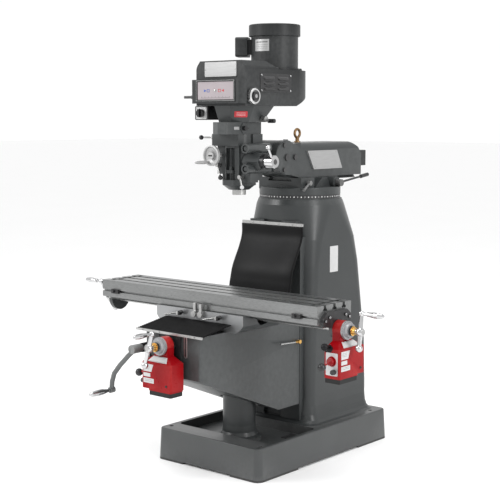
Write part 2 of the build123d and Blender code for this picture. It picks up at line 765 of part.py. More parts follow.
def make_ram_fittings():
    with BuildPart() as ram_plate:
        for side in (-1, 1):
            with BuildSketch(Plane.YZ.offset(100 * side)):
                with BuildLine():
                    Polyline((112, 1386), (338, 1386), (380, 1300), (160, 1300), close=True)
                make_face()
            extrude(amount=8 * side)
    ram_plate.part.label = "ram_side_plates"
    export_step(ram_plate.part, "parts/ram_side_plates.step")
    with BuildPart() as pivot_bolts:
        for side in (-1, 1):
            for y, z, r in ((NOD_Y, NOD_Z, 15), (27, NOD_Z, 13), (NOD_Y - 18, NOD_Z + 55, 11),
                            (NOD_Y - 18, NOD_Z - 55, 11)):
                with Locations((104 * side, y, z)):
                    Cylinder(r, 8, rotation=(0, 90, 0))
        # filler plug on top of the ram
        with BuildSketch(Plane.XY.offset(RAM_TOP)):
            with Locations((0, 84)):
                RegularPolygon(12, 6)
        extrude(amount=14)
    pivot_bolts.part.label = "ram_pivot_bolts"
    export_step(pivot_bolts.part, "parts/ram_pivot_bolts.step")
    with BuildPart() as eye_bolt:
        with Locations((0, 171, 1464)):
            Torus(19, 6, rotation=(0, 90, 0))
        with Locations((0, 171, 1435)):
            Cylinder(9, 24)
        with Locations((0, 171, RAM_TOP + 2.5)):
            Cylinder(15, 5)
    eye_bolt.part.label = "eye_bolt"
    export_step(eye_bolt.part, "parts/eye_bolt.step")
    with BuildPart() as rear_box:
        with Locations((0, 604, 1340)):
            Box(90, 118, 76)
        fillet(rear_box.edges().filter_by(Axis.Y), 4)
    rear_box.part.label = "rear_box"
    export_step(rear_box.part, "parts/rear_box.step")


def make_adapter():
    with BuildPart() as ram_adapter:
        with BuildSketch(Plane.YZ.offset(-63)):
            with Locations((NOD_Y, NOD_Z)):
                Circle(76)
            with Locations((NOD_Y - 60, NOD_Z)):
                Rectangle(100, 128)
        extrude(amount=126)
        with Locations((0, -139, NOD_Z)):
            Cylinder(86, 22, rotation=(90, 0, 0))
        fillet(ram_adapter.faces().filter_by(Axis.Y).sort_by(Axis.Y)[0].edges(), 2)
        with Locations((0, -122, NOD_Z)):
            Cylinder(78, 16, rotation=(90, 0, 0))
    ram_adapter.part.label = "ram_adapter"
    export_step(ram_adapter.part, "parts/ram_adapter.step")


# ================================================================ head
def make_quill_housing():
    with BuildPart() as quill_housing:
        with BuildSketch(Plane.XY.offset(1262)):
            with Locations((0, SPINDLE_Y)):
                Circle(64)
            with Locations((0, -230)):
                Rectangle(96, 136)
            with Locations((0, -198)):
                Rectangle(140, 66)
        extrude(amount=203)
        # octagonal nose flange and its taper
        with BuildSketch(Plane.XY.offset(1242)):
            with Locations((0, SPINDLE_Y)):
                RegularPolygon(78, 8, rotation=22.5)
        extrude(amount=24)
        with BuildSketch(Plane.XY.offset(1222)):
            with Locations((0, SPINDLE_Y)):
                Circle(46)
        with BuildSketch(Plane.XY.offset(1242)):
            with Locations((0, SPINDLE_Y)):
                Circle(71)
        loft()
        # round rear face that bolts to the adapter, and the four bolt bosses
        with Locations((0, -160.2, NOD_Z)):
            Cylinder(84, 19, rotation=(90, 0, 0))
        for x, front in ((-92, -248), (92, -311)):
            for z in (1316, 1404):
                with Locations((x, (front - 153) / 2, z)):
                    Cylinder(21, -153 - front, rotation=(90, 0, 0))
                with Locations((x * 0.8, -200, z)):
                    Box(36, 96, 34)
        # tapered boss of the quill feed on the right
        with BuildSketch(Plane.YZ.offset(60)):
            with Locations((-238, 1347)):
                RegularPolygon(56, 6)
        with BuildSketch(Plane.YZ.offset(138)):
            with Locations((-239, 1347)):
                RegularPolygon(40, 6)
        loft(ruled=True)
        with Locations((74, -262, 1276)):
            Box(60, 52, 40)
        # bracket of the power feed and the worm block below it
        with BuildSketch(Plane.XY.offset(1413)):
            with BuildLine():
                Polyline((-112, -294), (-98, -311), (55, -311), (55, -280), (-50, -250), (-112, -250),
                         close=True)
            make_face()
        extrude(amount=52)
        with Locations((-66, -252, 1352)):
            Box(36, 76, 124)
        # quill bore and the stop slot in front
        with Locations((0, SPINDLE_Y, 1200)):
            Cylinder(QUILL_R + 0.05, 240, align=(Align.CENTER, Align.CENTER, Align.MIN),
                     mode=Mode.SUBTRACT)
        with Locations((0, SPINDLE_Y, 1300)):
            Cylinder(33, 300, align=(Align.CENTER, Align.CENTER, Align.MIN), mode=Mode.SUBTRACT)
        with Locations((2, -299, 1335)):
            Box(48, 22, 140, mode=Mode.SUBTRACT)
        # quill stop rod with its nut
        with Locations((2, -298, 1335)):
            Cylinder(3.5, 142)
        with Locations((2, -301, 1302)):
            Box(34, 16, 14)
        with Locations((2, -299, 1316)):
            Cylinder(7, 16)
        # clamp bolts sunk in the bosses
        for x, front in ((-92, -248), (92, -311)):
            for z in (1316, 1404):
                with Locations((x, front + 7, z)):
                    Cylinder(14, 14.01, rotation=(90, 0, 0), mode=Mode.SUBTRACT)
                with Locations((x, front + 9.5, z)):
                    Cylinder(10, 10, rotation=(90, 0, 0))
        # holes for the quill feed, quill lock, fine feed, feed reverse and feed trip shafts
        with Locations((146, -239, 1347)):
            Cylinder(10.05, 40, rotation=(0, 90, 0), mode=Mode.SUBTRACT)
        with Locations((62, -288, 1280)):
            Cylinder(6.05, 40, rotation=(90, 0, 0), mode=Mode.SUBTRACT)
        with Locations((-59, -280, 1372)):
            Cylinder(8.05, 26, rotation=(90, 0, 0), mode=Mode.SUBTRACT)
        with Locations((-72, -280, 1330)):
            Cylinder(5.05, 26, rotation=(90, 0, 0), mode=Mode.SUBTRACT)
        with Locations((-106, -280, 1449)):
            Cylinder(5.05, 20, rotation=(0, 90, 0), mode=Mode.SUBTRACT)
    quill_housing.part.label = "quill_housing"
    export_step(quill_housing.part, "parts/quill_housing.step")


def make_quill_and_spindle():
    with BuildPart() as quill:
        with Locations((0, SPINDLE_Y, 1223)):
            Cylinder(QUILL_R, 213, align=(Align.CENTER, Align.CENTER, Align.MIN))
            Cylinder(SPINDLE_R + 0.05, 213, align=(Align.CENTER, Align.CENTER, Align.MIN),
                     mode=Mode.SUBTRACT)
    quill.part.label = "quill"
    export_step(quill.part, "parts/quill.step")
    with BuildPart() as spindle:
        with BuildSketch(Plane.XZ):
            with BuildLine():
                Polyline((12.05, 1230), (15.8, 1199), (30, 1199), (30, 1222.7), (SPINDLE_R, 1222.7),
                         (SPINDLE_R, 1436), (18, 1436), (18, 1460), (0, 1460), (0, 1290),
                         (12.05, 1290), close=True)
            make_face()
        revolve(axis=Axis.Z)
    spindle.part.position = (0, SPINDLE_Y, 0)
    spindle.part.label = "spindle"
    export_step(spindle.part, "parts/spindle.step")


def make_quill_levers():
    with BuildPart() as quill_lever:
        with Locations((143.5, -239, 1347)):
            Cylinder(10, 33, rotation=(0, 90, 0))
        with Locations((148.5, -239, 1347)):
            Cylinder(33, 19, rotation=(0, 90, 0))
        with Locations((180.5, -239, 1347)):
            Cylinder(28, 45, rotation=(0, 90, 0))
        chamfer(quill_lever.edges().filter_by(GeomType.CIRCLE).group_by(Axis.X)[-1], 3)
        with BuildSketch(Plane((190, -239, 1347), x_dir=(1, 0, 0), z_dir=(0, -0.486, 0.874))):
            Circle(5)
        extrude(amount=72)
        with Locations((190, -274, 1410)):
            Sphere(11)
    quill_lever.part.label = "quill_feed_lever"
    export_step(quill_lever.part, "parts/quill_feed_lever.step")
    with BuildPart() as lock_lever:
        with Locations((62, -294, 1280)):
            Cylinder(6, 44, rotation=(90, 0, 0))
        with Locations((62, -308, 1280)):
            Cylinder(9, 16, rotation=(90, 0, 0))
        with BuildSketch(Plane((62, -310, 1280), x_dir=(0, 1, 0), z_dir=(13, 0, -44))):
            Circle(4)
        extrude(amount=44)
        with Locations((75, -310, 1236)):
            Sphere(9)
    lock_lever.part.label = "quill_lock_lever"
    export_step(lock_lever.part, "parts/quill_lock_lever.step")


def make_feed_controls():
    with BuildPart() as fine_feed_wheel:
        # dished rim, hub and shaft, revolved about the shaft
        with BuildSketch(Plane.XY.offset(1372)):
            with BuildLine():
                Polyline((-59, -276), (-51, -276), (-51, -322), (-43, -324), (-43, -341), (-23, -347),
                         (-21, -352), (-13.5, -352), (-13.5, -363), (-20, -364), (-24, -357),
                         (-43, -352), (-43, -366), (-59, -366), close=True)
            make_face()
        revolve(axis=Axis((-59, 0, 1372), (0, 1, 0)))
        with Locations((-76, -361, 1343)):
            Cylinder(4, 34, rotation=(90, 0, 0))
        with BuildSketch(Plane(origin=(-76, 0, 1343), x_dir=(0, -1, 0), z_dir=(1, 0, 0))):
            with BuildLine():
                Polyline((374, 0), (374, 7), (392, 8), (424, 7), (440, 5), (448, 0), close=True)
            make_face()
        revolve(axis=Axis((-76, 0, 1343), (0, 1, 0)))
        with Locations((-59, -366, 1372)):
            Box(22, 3, 6)
    fine_feed_wheel.part.label = "fine_feed_wheel"
    export_step(fine_feed_wheel.part, "parts/fine_feed_wheel.step")
    with BuildPart() as reverse_lever:
        with Locations((-72, -292, 1330)):
            Cylinder(5, 40, rotation=(90, 0, 0))
        with Locations((-72, -301.5, 1330)):
            Cylinder(9, 21, rotation=(90, 0, 0))
        with BuildSketch(Plane((-72, -304, 1330), x_dir=(0, 1, 0), z_dir=(29, -14, -55))):
            Circle(4)
        extrude(amount=60)
        with Locations((-43, -318, 1275)):
            Sphere(10.5)
    reverse_lever.part.label = "feed_reverse_lever"
    export_step(reverse_lever.part, "parts/feed_reverse_lever.step")
    with BuildPart() as trip_lever:
        with Locations((-111, -280, 1449)):
            Cylinder(5, 26, rotation=(0, 90, 0))
        with Locations((-118.5, -280, 1449)):
            Cylinder(9, 11, rotation=(0, 90, 0))
        with BuildSketch(Plane((-118, -281, 1449), x_dir=(0, 0, 1), z_dir=(-47, -27, 0))):
            Circle(4)
        extrude(amount=52)
        with Locations((-165, -308, 1449)):
            Sphere(10.5)
    trip_lever.part.label = "feed_trip_lever"
    export_step(trip_lever.part, "parts/feed_trip_lever.step")


def make_feed_case():
    with BuildPart() as feed_case:
        with BuildSketch(Plane.XY.offset(1465.3)):
            with BuildLine():
                Polyline((62, -396), (15, -400), (-32, -378), (-62, -330), (-70, -166), (62, -160),
                         close=True)
            make_face()
        extrude(amount=51.5)
        fillet(feed_case.edges().filter_by(Axis.Z), 8)
        # diamond plate and hole of the selector
        with BuildSketch(Plane.YZ.offset(61)):
            with Locations((-287, 1491)):
                RegularPolygon(24, 4)
        extrude(amount=4)
        with Locations((60, -287, 1491)):
            Cylinder(5.05, 20, rotation=(0, 90, 0), mode=Mode.SUBTRACT)
    feed_case.part.label = "feed_case"
    export_step(feed_case.part, "parts/feed_case.step")
    with BuildPart() as selector_knob:
        with Locations((58.5, -287, 1491)):
            Cylinder(5, 15, rotation=(0, 90, 0))
        with Locations((72.75, -287, 1491)):
            Cylinder(10, 14.5, rotation=(0, 90, 0))
        with Locations((80, -287, 1491)):
            Box(8, 26, 6)
    selector_knob.part.label = "feed_selector_knob"
    export_step(selector_knob.part, "parts/feed_selector_knob.step")


def gear_outline(z, nose, nose_y, half, half_y, back, back_y):
    """Six-sided outline of the gear housing at one height."""
    with BuildSketch(Plane.XY.offset(z)) as outline:
        with BuildLine():
            Polyline((nose, nose_y), (half, half_y), (back, back_y), (-back, back_y), (-half, half_y),
                     (-nose, nose_y), close=True)
        make_face()
    return outline


def make_gear_housing():
    lower = gear_outline(1517.1, 35, -335, 78, -270, 72, -168)
    upper = gear_outline(1586.7, 45, -354, 111, -270, 111, -136)
    with BuildPart() as gear_housing:
        loft([lower.sketch, upper.sketch], ruled=True)
        with Locations((80, -190, 1530)):
            Cylinder(7.05, 40, rotation=(0, 90, 0), mode=Mode.SUBTRACT)
    gear_housing.part.label = "gear_housing"
    export_step(gear_housing.part, "parts/gear_housing.step")
    with BuildPart() as range_lever:
        with Locations((78, -190, 1530)):
            Cylinder(7, 24, rotation=(0, 90, 0))
        with Locations((101, -190, 1530)):
            Cylinder(13, 22, rotation=(0, 90, 0))
        with BuildSketch(Plane((107, -190, 1530), x_dir=(1, 0, 0), z_dir=(0, 25, -8))):
            Circle(5)
        extrude(amount=26)
        with Locations((121, -165, 1522)):
            Cylinder(9, 34, rotation=(0, 90, 0))
    range_lever.part.label = "range_lever"
    export_step(range_lever.part, "parts/range_lever.step")


def make_belt_housing():
    with BuildPart() as belt_housing:
        with BuildSketch(Plane.XY.offset(BELT_BOT)):
            with Locations((0, (BELT_FRONT + MOTOR_Y) / 2)):
                Rectangle(2 * BELT_X, MOTOR_Y - BELT_FRONT)
            with Locations((0, MOTOR_Y)):
                Circle(BELT_X)
        extrude(amount=BELT_TOP - BELT_BOT)
        # the underside rises towards the back
        with BuildSketch(Plane.YZ.offset(-BELT_X - 10)):
            with BuildLine():
                Polyline((-16, 1586), (190, 1586), (190, 1668), (145, 1652), close=True)
            make_face()
        extrude(amount=2 * BELT_X + 20, mode=Mode.SUBTRACT)
        # raised hood over the front pulleys, chamfered at the sides and sloping at the back
        with BuildSketch(Plane.XZ.offset(140)):
            with BuildLine():
                Polyline((-BELT_X, 1743), (-136, 1756), (-118, 1779), (118, 1779), (136, 1756),
                         (BELT_X, 1743), close=True)
            make_face()
        extrude(amount=-BELT_FRONT - 140)
        with BuildSketch(Plane.YZ.offset(-BELT_X - 10)):
            with BuildLine():
                Polyline((-205, 1780), (-138, 1746), (-138, 1790), (-205, 1790), close=True)
            make_face()
        extrude(amount=2 * BELT_X + 20, mode=Mode.SUBTRACT)
        # flange under the motor
        with Locations((0, MOTOR_Y, BELT_TOP)):
            Cylinder(124, 7, align=(Align.CENTER, Align.CENTER, Align.MIN))
        # closed space for the pulleys and the belt
        with Locations((0, -175, 1662)):
            Box(250, 340, 120, mode=Mode.SUBTRACT)
        # bore for the speed wheel shaft
        with Locations((131, -326, 1627)):
            Cylinder(8.05, 24, rotation=(0, 90, 0), mode=Mode.SUBTRACT)
    belt_housing.part.label = "belt_housing"
    export_step(belt_housing.part, "parts/belt_housing.step")


def make_speed_cover():
    with BuildPart() as speed_cover:
        with BuildSketch(Plane.XY.offset(1597)):
            with BuildLine():
                Polyline((-151, -365.2), (-151, -381), (-133, -399.4), (133, -399.4), (151, -381),
                         (151, -365.2), close=True)
            make_face()
        extrude(amount=102)
        # frame about the speed plate
        with BuildSketch(Plane.XZ.offset(399.4)):
            with Locations((3, 1651)):
                Rectangle(222, 92)
                Rectangle(208, 78, mode=Mode.SUBTRACT)
        extrude(amount=4)
        # bore for the brake shaft
        with Locations((-145, -373, 1625)):
            Cylinder(5.05, 26, rotation=(0, 90, 0), mode=Mode.SUBTRACT)
    speed_cover.part.label = "speed_cover"
    export_step(speed_cover.part, "parts/speed_cover.step")


def make_speed_controls():
    with BuildPart() as speed_wheel:
        with BuildSketch(Plane.XY.offset(1627)):
            with BuildLine():
                Polyline((122, -326), (122, -318), (146, -318), (146, -294), (149, -292), (163, -292),
                         (166, -295), (166, -300), (161, -304), (161, -306), (170, -306), (170, -326),
                         close=True)
            make_face()
        revolve(axis=Axis((0, -326, 1627), (1, 0, 0)))
    speed_wheel.part.label = "speed_wheel"
    export_step(speed_wheel.part, "parts/speed_wheel.step")
    with BuildPart() as brake_lever:
        with Locations((-147, -373, 1625)):
            Cylinder(5, 26, rotation=(0, 90, 0))
        with Locations((-156, -373, 1625)):
            Cylinder(8, 8, rotation=(0, 90, 0))
        with BuildSketch(Plane((-157, -373, 1625), x_dir=(0, 1, 0), z_dir=(-41, -6, 0))):
            Circle(6)
        extrude(amount=41)
    brake_lever.part.label = "brake_lever"
    export_step(brake_lever.part, "parts/brake_lever.step")


def make_motor():
    out = Vector(-0.85, -0.52, 0).normalized()
    face = Plane(origin=Vector(0, MOTOR_Y, 1852) + out * 98, x_dir=(0, 0, 1), z_dir=out)
    with BuildPart() as motor:
        with Locations((0, MOTOR_Y, BELT_TOP + 7)):
            Cylinder(MOTOR_R, 147, align=(Align.CENTER, Align.CENTER, Align.MIN))
        # junction box on a short neck
        with BuildSketch(face):
            Rectangle(66, 66)
        extrude(amount=21)
        with BuildSketch(face.offset(20)):
            RectangleRounded(88, 92, 10)
        extrude(amount=52)
    motor.part.label = "motor"
    export_step(motor.part, "parts/motor.step")
    with BuildPart() as fan_cover:
        with Locations((0, MOTOR_Y, 1899.2)):
            Cylinder(116, 51.3, align=(Align.CENTER, Align.CENTER, Align.MIN))
        fillet(fan_cover.faces().sort_by(Axis.Z)[-1].edges(), 6)
    fan_cover.part.label = "motor_fan_cover"
    export_step(fan_cover.part, "parts/motor_fan_cover.step")


def make_drum_switch():
    with BuildPart() as drum_switch:
        with Locations((-160.5, -273, 1556.5)):
            Box(77, 76, 61)
        fillet(drum_switch.edges().filter_by(Axis.Y), 6)
        with BuildSketch(Plane.XZ.offset(311)):
            with Locations((-160, 1556)):
                RectangleRounded(62, 52, 3)
        extrude(amount=2)
        with Locations((-160, -302, 1556)):
            Cylinder(5.05, 26, rotation=(90, 0, 0), mode=Mode.SUBTRACT)
    drum_switch.part.label = "drum_switch"
    export_step(drum_switch.part, "parts/drum_switch.step")
    with BuildPart() as switch_knob:
        with Locations((-160, -310, 1556)):
            Cylinder(5, 22, rotation=(90, 0, 0))
        with Locations((-160, -320.25, 1556)):
            Cylinder(19, 13.5, rotation=(90, 0, 0))
        with Locations((-160, -331, 1556)):
            Box(11, 10, 34)
    switch_knob.part.label = "switch_knob"
    export_step(switch_knob.part, "parts/switch_knob.step")


def make_cranks():
    right = (Vector(750, TABLE_Y, SCREW_Z), Vector(1, 0, 0), Vector(0, 0.12, 1), 73, 66)
    left = (Vector(-699, TABLE_Y, SCREW_Z), Vector(-1, 0, 0), Vector(0, -0.55, 0.83), 95, 66)
    front = (Vector(0, -811, FEED_Z), Vector(0, -1, 0), Vector(0.3, 0, 0.95), 66, 77)
    ball_cranks("table_cranks", (left, right))
    ball_cranks("y_crank", (front,))


if __name__ == "__main__":
    make_base()
    make_column()
    make_pedestal()
    make_clamp_bar()
    make_rear_cover()
    make_knee()
    make_knee_plate()
    make_elevating_screw()
    make_knee_clamp()
    make_front_cover()
    make_knee_crank()
    make_saddle()
    make_stop_bracket()
    make_saddle_levers()
    make_table()
    make_stop_dogs()
    make_end_bracket()
    make_adapter_plate()
    make_table_screw()
    make_cross_screw()
    make_cranks()
    feed_unit("x", -82, 45)
    feed_unit("y", -45, 84)
    make_turret()
    make_turret_levers()
    make_ram()
    make_ram_fittings()
    make_adapter()
    make_quill_housing()
    make_quill_and_spindle()
    make_quill_levers()
    make_feed_controls()
    make_feed_case()
    make_gear_housing()
    make_belt_housing()
    make_speed_cover()
    make_speed_controls()
    make_motor()
    make_drum_switch()
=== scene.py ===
import math

import bpy
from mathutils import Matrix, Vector


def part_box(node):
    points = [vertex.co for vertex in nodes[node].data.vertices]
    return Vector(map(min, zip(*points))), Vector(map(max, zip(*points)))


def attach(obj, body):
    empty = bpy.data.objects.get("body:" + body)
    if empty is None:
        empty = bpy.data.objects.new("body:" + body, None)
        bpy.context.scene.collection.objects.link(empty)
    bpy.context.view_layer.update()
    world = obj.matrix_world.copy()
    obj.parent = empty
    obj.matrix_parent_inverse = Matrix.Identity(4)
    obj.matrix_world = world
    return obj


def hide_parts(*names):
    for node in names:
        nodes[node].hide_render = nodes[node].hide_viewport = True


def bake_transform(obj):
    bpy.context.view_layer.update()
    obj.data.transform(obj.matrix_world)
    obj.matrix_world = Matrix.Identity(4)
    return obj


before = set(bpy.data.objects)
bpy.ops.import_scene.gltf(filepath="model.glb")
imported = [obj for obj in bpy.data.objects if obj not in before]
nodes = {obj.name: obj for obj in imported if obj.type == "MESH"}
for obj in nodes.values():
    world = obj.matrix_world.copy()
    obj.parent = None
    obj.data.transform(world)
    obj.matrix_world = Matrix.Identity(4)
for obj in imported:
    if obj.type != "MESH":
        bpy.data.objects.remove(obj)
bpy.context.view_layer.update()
scene = bpy.context.scene


# ================================================================ materials
def node(tree, kind, **values):
    made = tree.nodes.new(kind)
    for key, value in values.items():
        setattr(made, key, value)
    return made


def inside(tree, place, test):
    """Factor that is 1 where a point of the surface passes the test."""
    kind = test[0]
    if kind == "ball":
        far = node(tree, "ShaderNodeVectorMath", operation="DISTANCE")
        tree.links.new(place, far.inputs[0])
        far.inputs[1].default_value = test[1]
        value, compare, limit = far.outputs["Value"], "LESS_THAN", test[2]
    elif kind == "rod":
        shift = node(tree, "ShaderNodeVectorMath", operation="SUBTRACT")
        tree.links.new(place, shift.inputs[0])
        shift.inputs[1].default_value = test[1]
        cross = node(tree, "ShaderNodeVectorMath", operation="CROSS_PRODUCT")
        tree.links.new(shift.outputs[0], cross.inputs[0])
        cross.inputs[1].default_value = test[2]
        size = node(tree, "ShaderNodeVectorMath", operation="LENGTH")
        tree.links.new(cross.outputs[0], size.inputs[0])
        value, compare, limit = size.outputs["Value"], "LESS_THAN", test[3]
    else:
        dot = node(tree, "ShaderNodeVectorMath", operation="DOT_PRODUCT")
        tree.links.new(place, dot.inputs[0])
        dot.inputs[1].default_value = test[1]
        value, compare, limit = dot.outputs["Value"], "GREATER_THAN", test[2]
    step = node(tree, "ShaderNodeMath", operation=compare)
    tree.links.new(value, step.inputs[0])
    step.inputs[1].default_value = limit
    return step.outputs[0]


def surface(name, color, rough, metallic=0.0, mottle=0.12, scale=14.0, grain=(1.0, 1.0, 1.0), bump=0.12,
            bump_scale=420.0, wear=0.0, wear_color=(0.45, 0.45, 0.44), coat=0.0, rough_spread=0.07, specular=0.5,
            zones=()):
    """Material with mottled colour, uneven gloss, fine bump and worn edges.

    Each zone is (tests, colour, roughness, metallic) for the part of the piece that passes every test.
    """
    mat = bpy.data.materials.new(name)
    mat.use_nodes = True
    tree = mat.node_tree
    tree.nodes.clear()
    out = node(tree, "ShaderNodeOutputMaterial")
    bsdf = node(tree, "ShaderNodeBsdfPrincipled")
    tree.links.new(bsdf.outputs[0], out.inputs[0])
    place = node(tree, "ShaderNodeTexCoord").outputs["Object"]
    stretch = node(tree, "ShaderNodeMapping")
    stretch.inputs["Scale"].default_value = grain
    tree.links.new(place, stretch.inputs[0])

    def noise(size, detail):
        made = node(tree, "ShaderNodeTexNoise")
        made.inputs["Scale"].default_value = size
        made.inputs["Detail"].default_value = detail
        tree.links.new(stretch.outputs[0], made.inputs["Vector"])
        return made.outputs[0]

    blotch = noise(scale, 5.0)
    fine = noise(scale * 9.0, 3.0)
    ramp = node(tree, "ShaderNodeValToRGB")
    ramp.color_ramp.elements[0].position = 0.3
    ramp.color_ramp.elements[1].position = 0.7
    ramp.color_ramp.elements[0].color = [c * (1.0 - mottle) for c in color] + [1.0]
    ramp.color_ramp.elements[1].color = [min(1.0, c * (1.0 + mottle)) for c in color] + [1.0]
    tree.links.new(blotch, ramp.inputs[0])
    shade = ramp.outputs[0]
    gloss = node(tree, "ShaderNodeMapRange")
    gloss.inputs["To Min"].default_value = max(0.03, rough - rough_spread)
    gloss.inputs["To Max"].default_value = min(1.0, rough + rough_spread)
    tree.links.new(fine, gloss.inputs["Value"])
    shine = gloss.outputs[0]
    metal = None
    if wear:
        edge = node(tree, "ShaderNodeNewGeometry").outputs["Pointiness"]
        sharp = node(tree, "ShaderNodeMapRange")
        sharp.inputs["From Min"].default_value = 0.53
        sharp.inputs["From Max"].default_value = 0.62
        sharp.inputs["To Max"].default_value = wear
        tree.links.new(edge, sharp.inputs["Value"])
        rub = node(tree, "ShaderNodeMath", operation="MULTIPLY")
        tree.links.new(sharp.outputs[0], rub.inputs[0])
        tree.links.new(fine, rub.inputs[1])
        mix = node(tree, "ShaderNodeMixRGB")
        mix.inputs["Color2"].default_value = (*wear_color, 1.0)
        tree.links.new(rub.outputs[0], mix.inputs["Fac"])
        tree.links.new(shade, mix.inputs["Color1"])
        shade = mix.outputs[0]
    for tests, zone_color, zone_rough, zone_metal in zones:
        factor = None
        for test in tests:
            one = inside(tree, place, test)
            if factor is None:
                factor = one
            else:
                both = node(tree, "ShaderNodeMath", operation="MULTIPLY")
                tree.links.new(factor, both.inputs[0])
                tree.links.new(one, both.inputs[1])
                factor = both.outputs[0]
        tint = node(tree, "ShaderNodeMixRGB")
        tint.inputs["Color2"].default_value = (*zone_color, 1.0)
        tree.links.new(factor, tint.inputs["Fac"])
        tree.links.new(shade, tint.inputs["Color1"])
        shade = tint.outputs[0]
        dull = node(tree, "ShaderNodeMix", data_type="FLOAT")
        dull.inputs["B"].default_value = zone_rough
        tree.links.new(factor, dull.inputs["Factor"])
        tree.links.new(shine, dull.inputs["A"])
        shine = dull.outputs["Result"]
        hard = node(tree, "ShaderNodeMix", data_type="FLOAT")
        hard.inputs["B"].default_value = zone_metal
        tree.links.new(factor, hard.inputs["Factor"])
        if metal is None:
            hard.inputs["A"].default_value = metallic
        else:
            tree.links.new(metal, hard.inputs["A"])
        metal = hard.outputs["Result"]
    tree.links.new(shade, bsdf.inputs["Base Color"])
    tree.links.new(shine, bsdf.inputs["Roughness"])
    if metal is None:
        bsdf.inputs["Metallic"].default_value = metallic
    else:
        tree.links.new(metal, bsdf.inputs["Metallic"])
    bsdf.inputs["Coat Weight"].default_value = coat
    bsdf.inputs["Specular IOR Level"].default_value = specular
    bsdf.inputs["Coat Roughness"].default_value = 0.18
    lumps = node(tree, "ShaderNodeBump")
    lumps.inputs["Strength"].default_value = bump
    lumps.inputs["Distance"].default_value = 0.0006
    tree.links.new(noise(bump_scale, 2.0), lumps.inputs["Height"])
    tree.links.new(lumps.outputs[0], bsdf.inputs["Normal"])
    return mat


GREY = (0.033, 0.036, 0.0365)
STEEL = (0.40, 0.40, 0.395)
CHROME = (0.52, 0.52, 0.525)
BLACK = (0.010, 0.010, 0.011)
RED = (0.225, 0.0015, 0.004)
BRASS = (0.62, 0.36, 0.10)

paint = surface("machine_paint", GREY, 0.36, mottle=0.07, scale=5.0, bump=0.22, bump_scale=260.0, wear=0.35,
                wear_color=(0.15, 0.155, 0.155), coat=0.08, specular=0.3)
sheet_paint = surface("sheet_metal_paint", (0.017, 0.018, 0.0185), 0.42, mottle=0.05, scale=7.0, bump=0.1,
                      bump_scale=500.0, wear=0.3, wear_color=(0.15, 0.155, 0.155), coat=0.0, specular=0.18)
pan_paint = surface("base_paint", (0.045, 0.048, 0.0485), 0.38, mottle=0.08, scale=6.0, bump=0.28,
                    bump_scale=220.0, wear=0.4,
                    wear_color=(0.26, 0.26, 0.26), coat=0.12, specular=0.4,
                    zones=[([("half", (0.0, 0.0, -1.0), -0.009)], (0.03, 0.03, 0.03), 0.6, 0.0)])
table_iron = surface("ground_table", (0.13, 0.135, 0.137), 0.30, metallic=0.75, mottle=0.14, scale=24.0,
                     grain=(0.25, 6.0, 2.0), bump=0.08, bump_scale=160.0, wear=0.5)
steel = surface("turned_steel", STEEL, 0.30, metallic=0.9, mottle=0.1, scale=60.0, bump=0.08, bump_scale=700.0)
chrome = surface("polished_chrome", CHROME, 0.10, metallic=1.0, mottle=0.04, scale=30.0, bump=0.03,
                 bump_scale=200.0, rough_spread=0.04)
black_steel = surface("black_oxide", (0.022, 0.022, 0.023), 0.38, metallic=0.35, mottle=0.2, scale=50.0,
                      bump=0.15, bump_scale=500.0, wear=0.4, wear_color=(0.2, 0.2, 0.2))
black_plastic = surface("black_plastic", BLACK, 0.26, mottle=0.15, scale=70.0, bump=0.08, bump_scale=900.0)
plate_metal = surface("blank_plate", (0.36, 0.36, 0.36), 0.34, metallic=0.55, mottle=0.06, scale=30.0,
                      grain=(0.6, 0.6, 10.0), bump=0.05, bump_scale=300.0)
paper = surface("plain_label", (0.46, 0.46, 0.46), 0.45, mottle=0.04, scale=20.0, bump=0.03, bump_scale=600.0)
pink_panel = surface("speed_panel", (0.30, 0.262, 0.276), 0.33, mottle=0.04, scale=20.0, bump=0.03,
                     bump_scale=500.0, coat=0.2)
red_paint = surface("red_enamel", RED, 0.30, mottle=0.08, scale=10.0, bump=0.14, bump_scale=320.0, wear=0.25,
                    wear_color=(0.75, 0.12, 0.10), coat=0.02, specular=0.13)
# near-black material for printed marks, also used as painted shade in the vent louvre openings, the drain grate slots
# and the knee slot
ink_and_painted_shade = surface("dark_ink_and_painted_shade", (0.015, 0.015, 0.016), 0.4, mottle=0.1, scale=80.0, bump=0.02)
blue_ink = surface("blue_ink", (0.02, 0.07, 0.32), 0.4, mottle=0.1, scale=80.0, bump=0.02)
red_ink = surface("red_ink", (0.42, 0.012, 0.02), 0.4, mottle=0.1, scale=80.0, bump=0.02)
white_ink = surface("white_ink", (0.75, 0.75, 0.74), 0.4, mottle=0.05, scale=80.0, bump=0.02)
eye_metal = surface("eye_bolt_metal", (0.22, 0.13, 0.06), 0.42, metallic=0.8, mottle=0.25, scale=60.0, bump=0.2,
                    bump_scale=400.0, wear=0.6, wear_color=(0.6, 0.45, 0.28))
rubber = surface("way_cover_rubber", (0.003, 0.003, 0.0033), 0.46, mottle=0.2, scale=9.0, bump=0.14,
                 bump_scale=60.0, coat=0.0, rough_spread=0.05, specular=0.14)
pleat_rubber = surface("pleated_rubber", (0.003, 0.003, 0.0033), 0.62, mottle=0.25, scale=40.0,
                       grain=(0.4, 1.0, 1.0), bump=0.25, bump_scale=300.0, specular=0.1)


def ball_lever(name, centre, radius, ball=BLACK, ball_rough=0.24, rod=STEEL):
    """Steel lever with a dark ball at its end."""
    return surface(name, rod, 0.28, metallic=0.9, mottle=0.08, scale=60.0, bump=0.06, bump_scale=600.0,
                   zones=[([("ball", centre, radius)], ball, ball_rough, 0.0)])


def end_of(name, corner):
    """A point picked from a node's box, one number per axis from 0 (low) to 1 (high)."""
    low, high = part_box(name)
    return tuple(low[i] + (high[i] - low[i]) * corner[i] for i in range(3))


def middle(name):
    return end_of(name, (0.5, 0.5, 0.5))


def give(name, mat):
    mesh = nodes[name].data
    mesh.materials.clear()
    mesh.materials.append(mat)


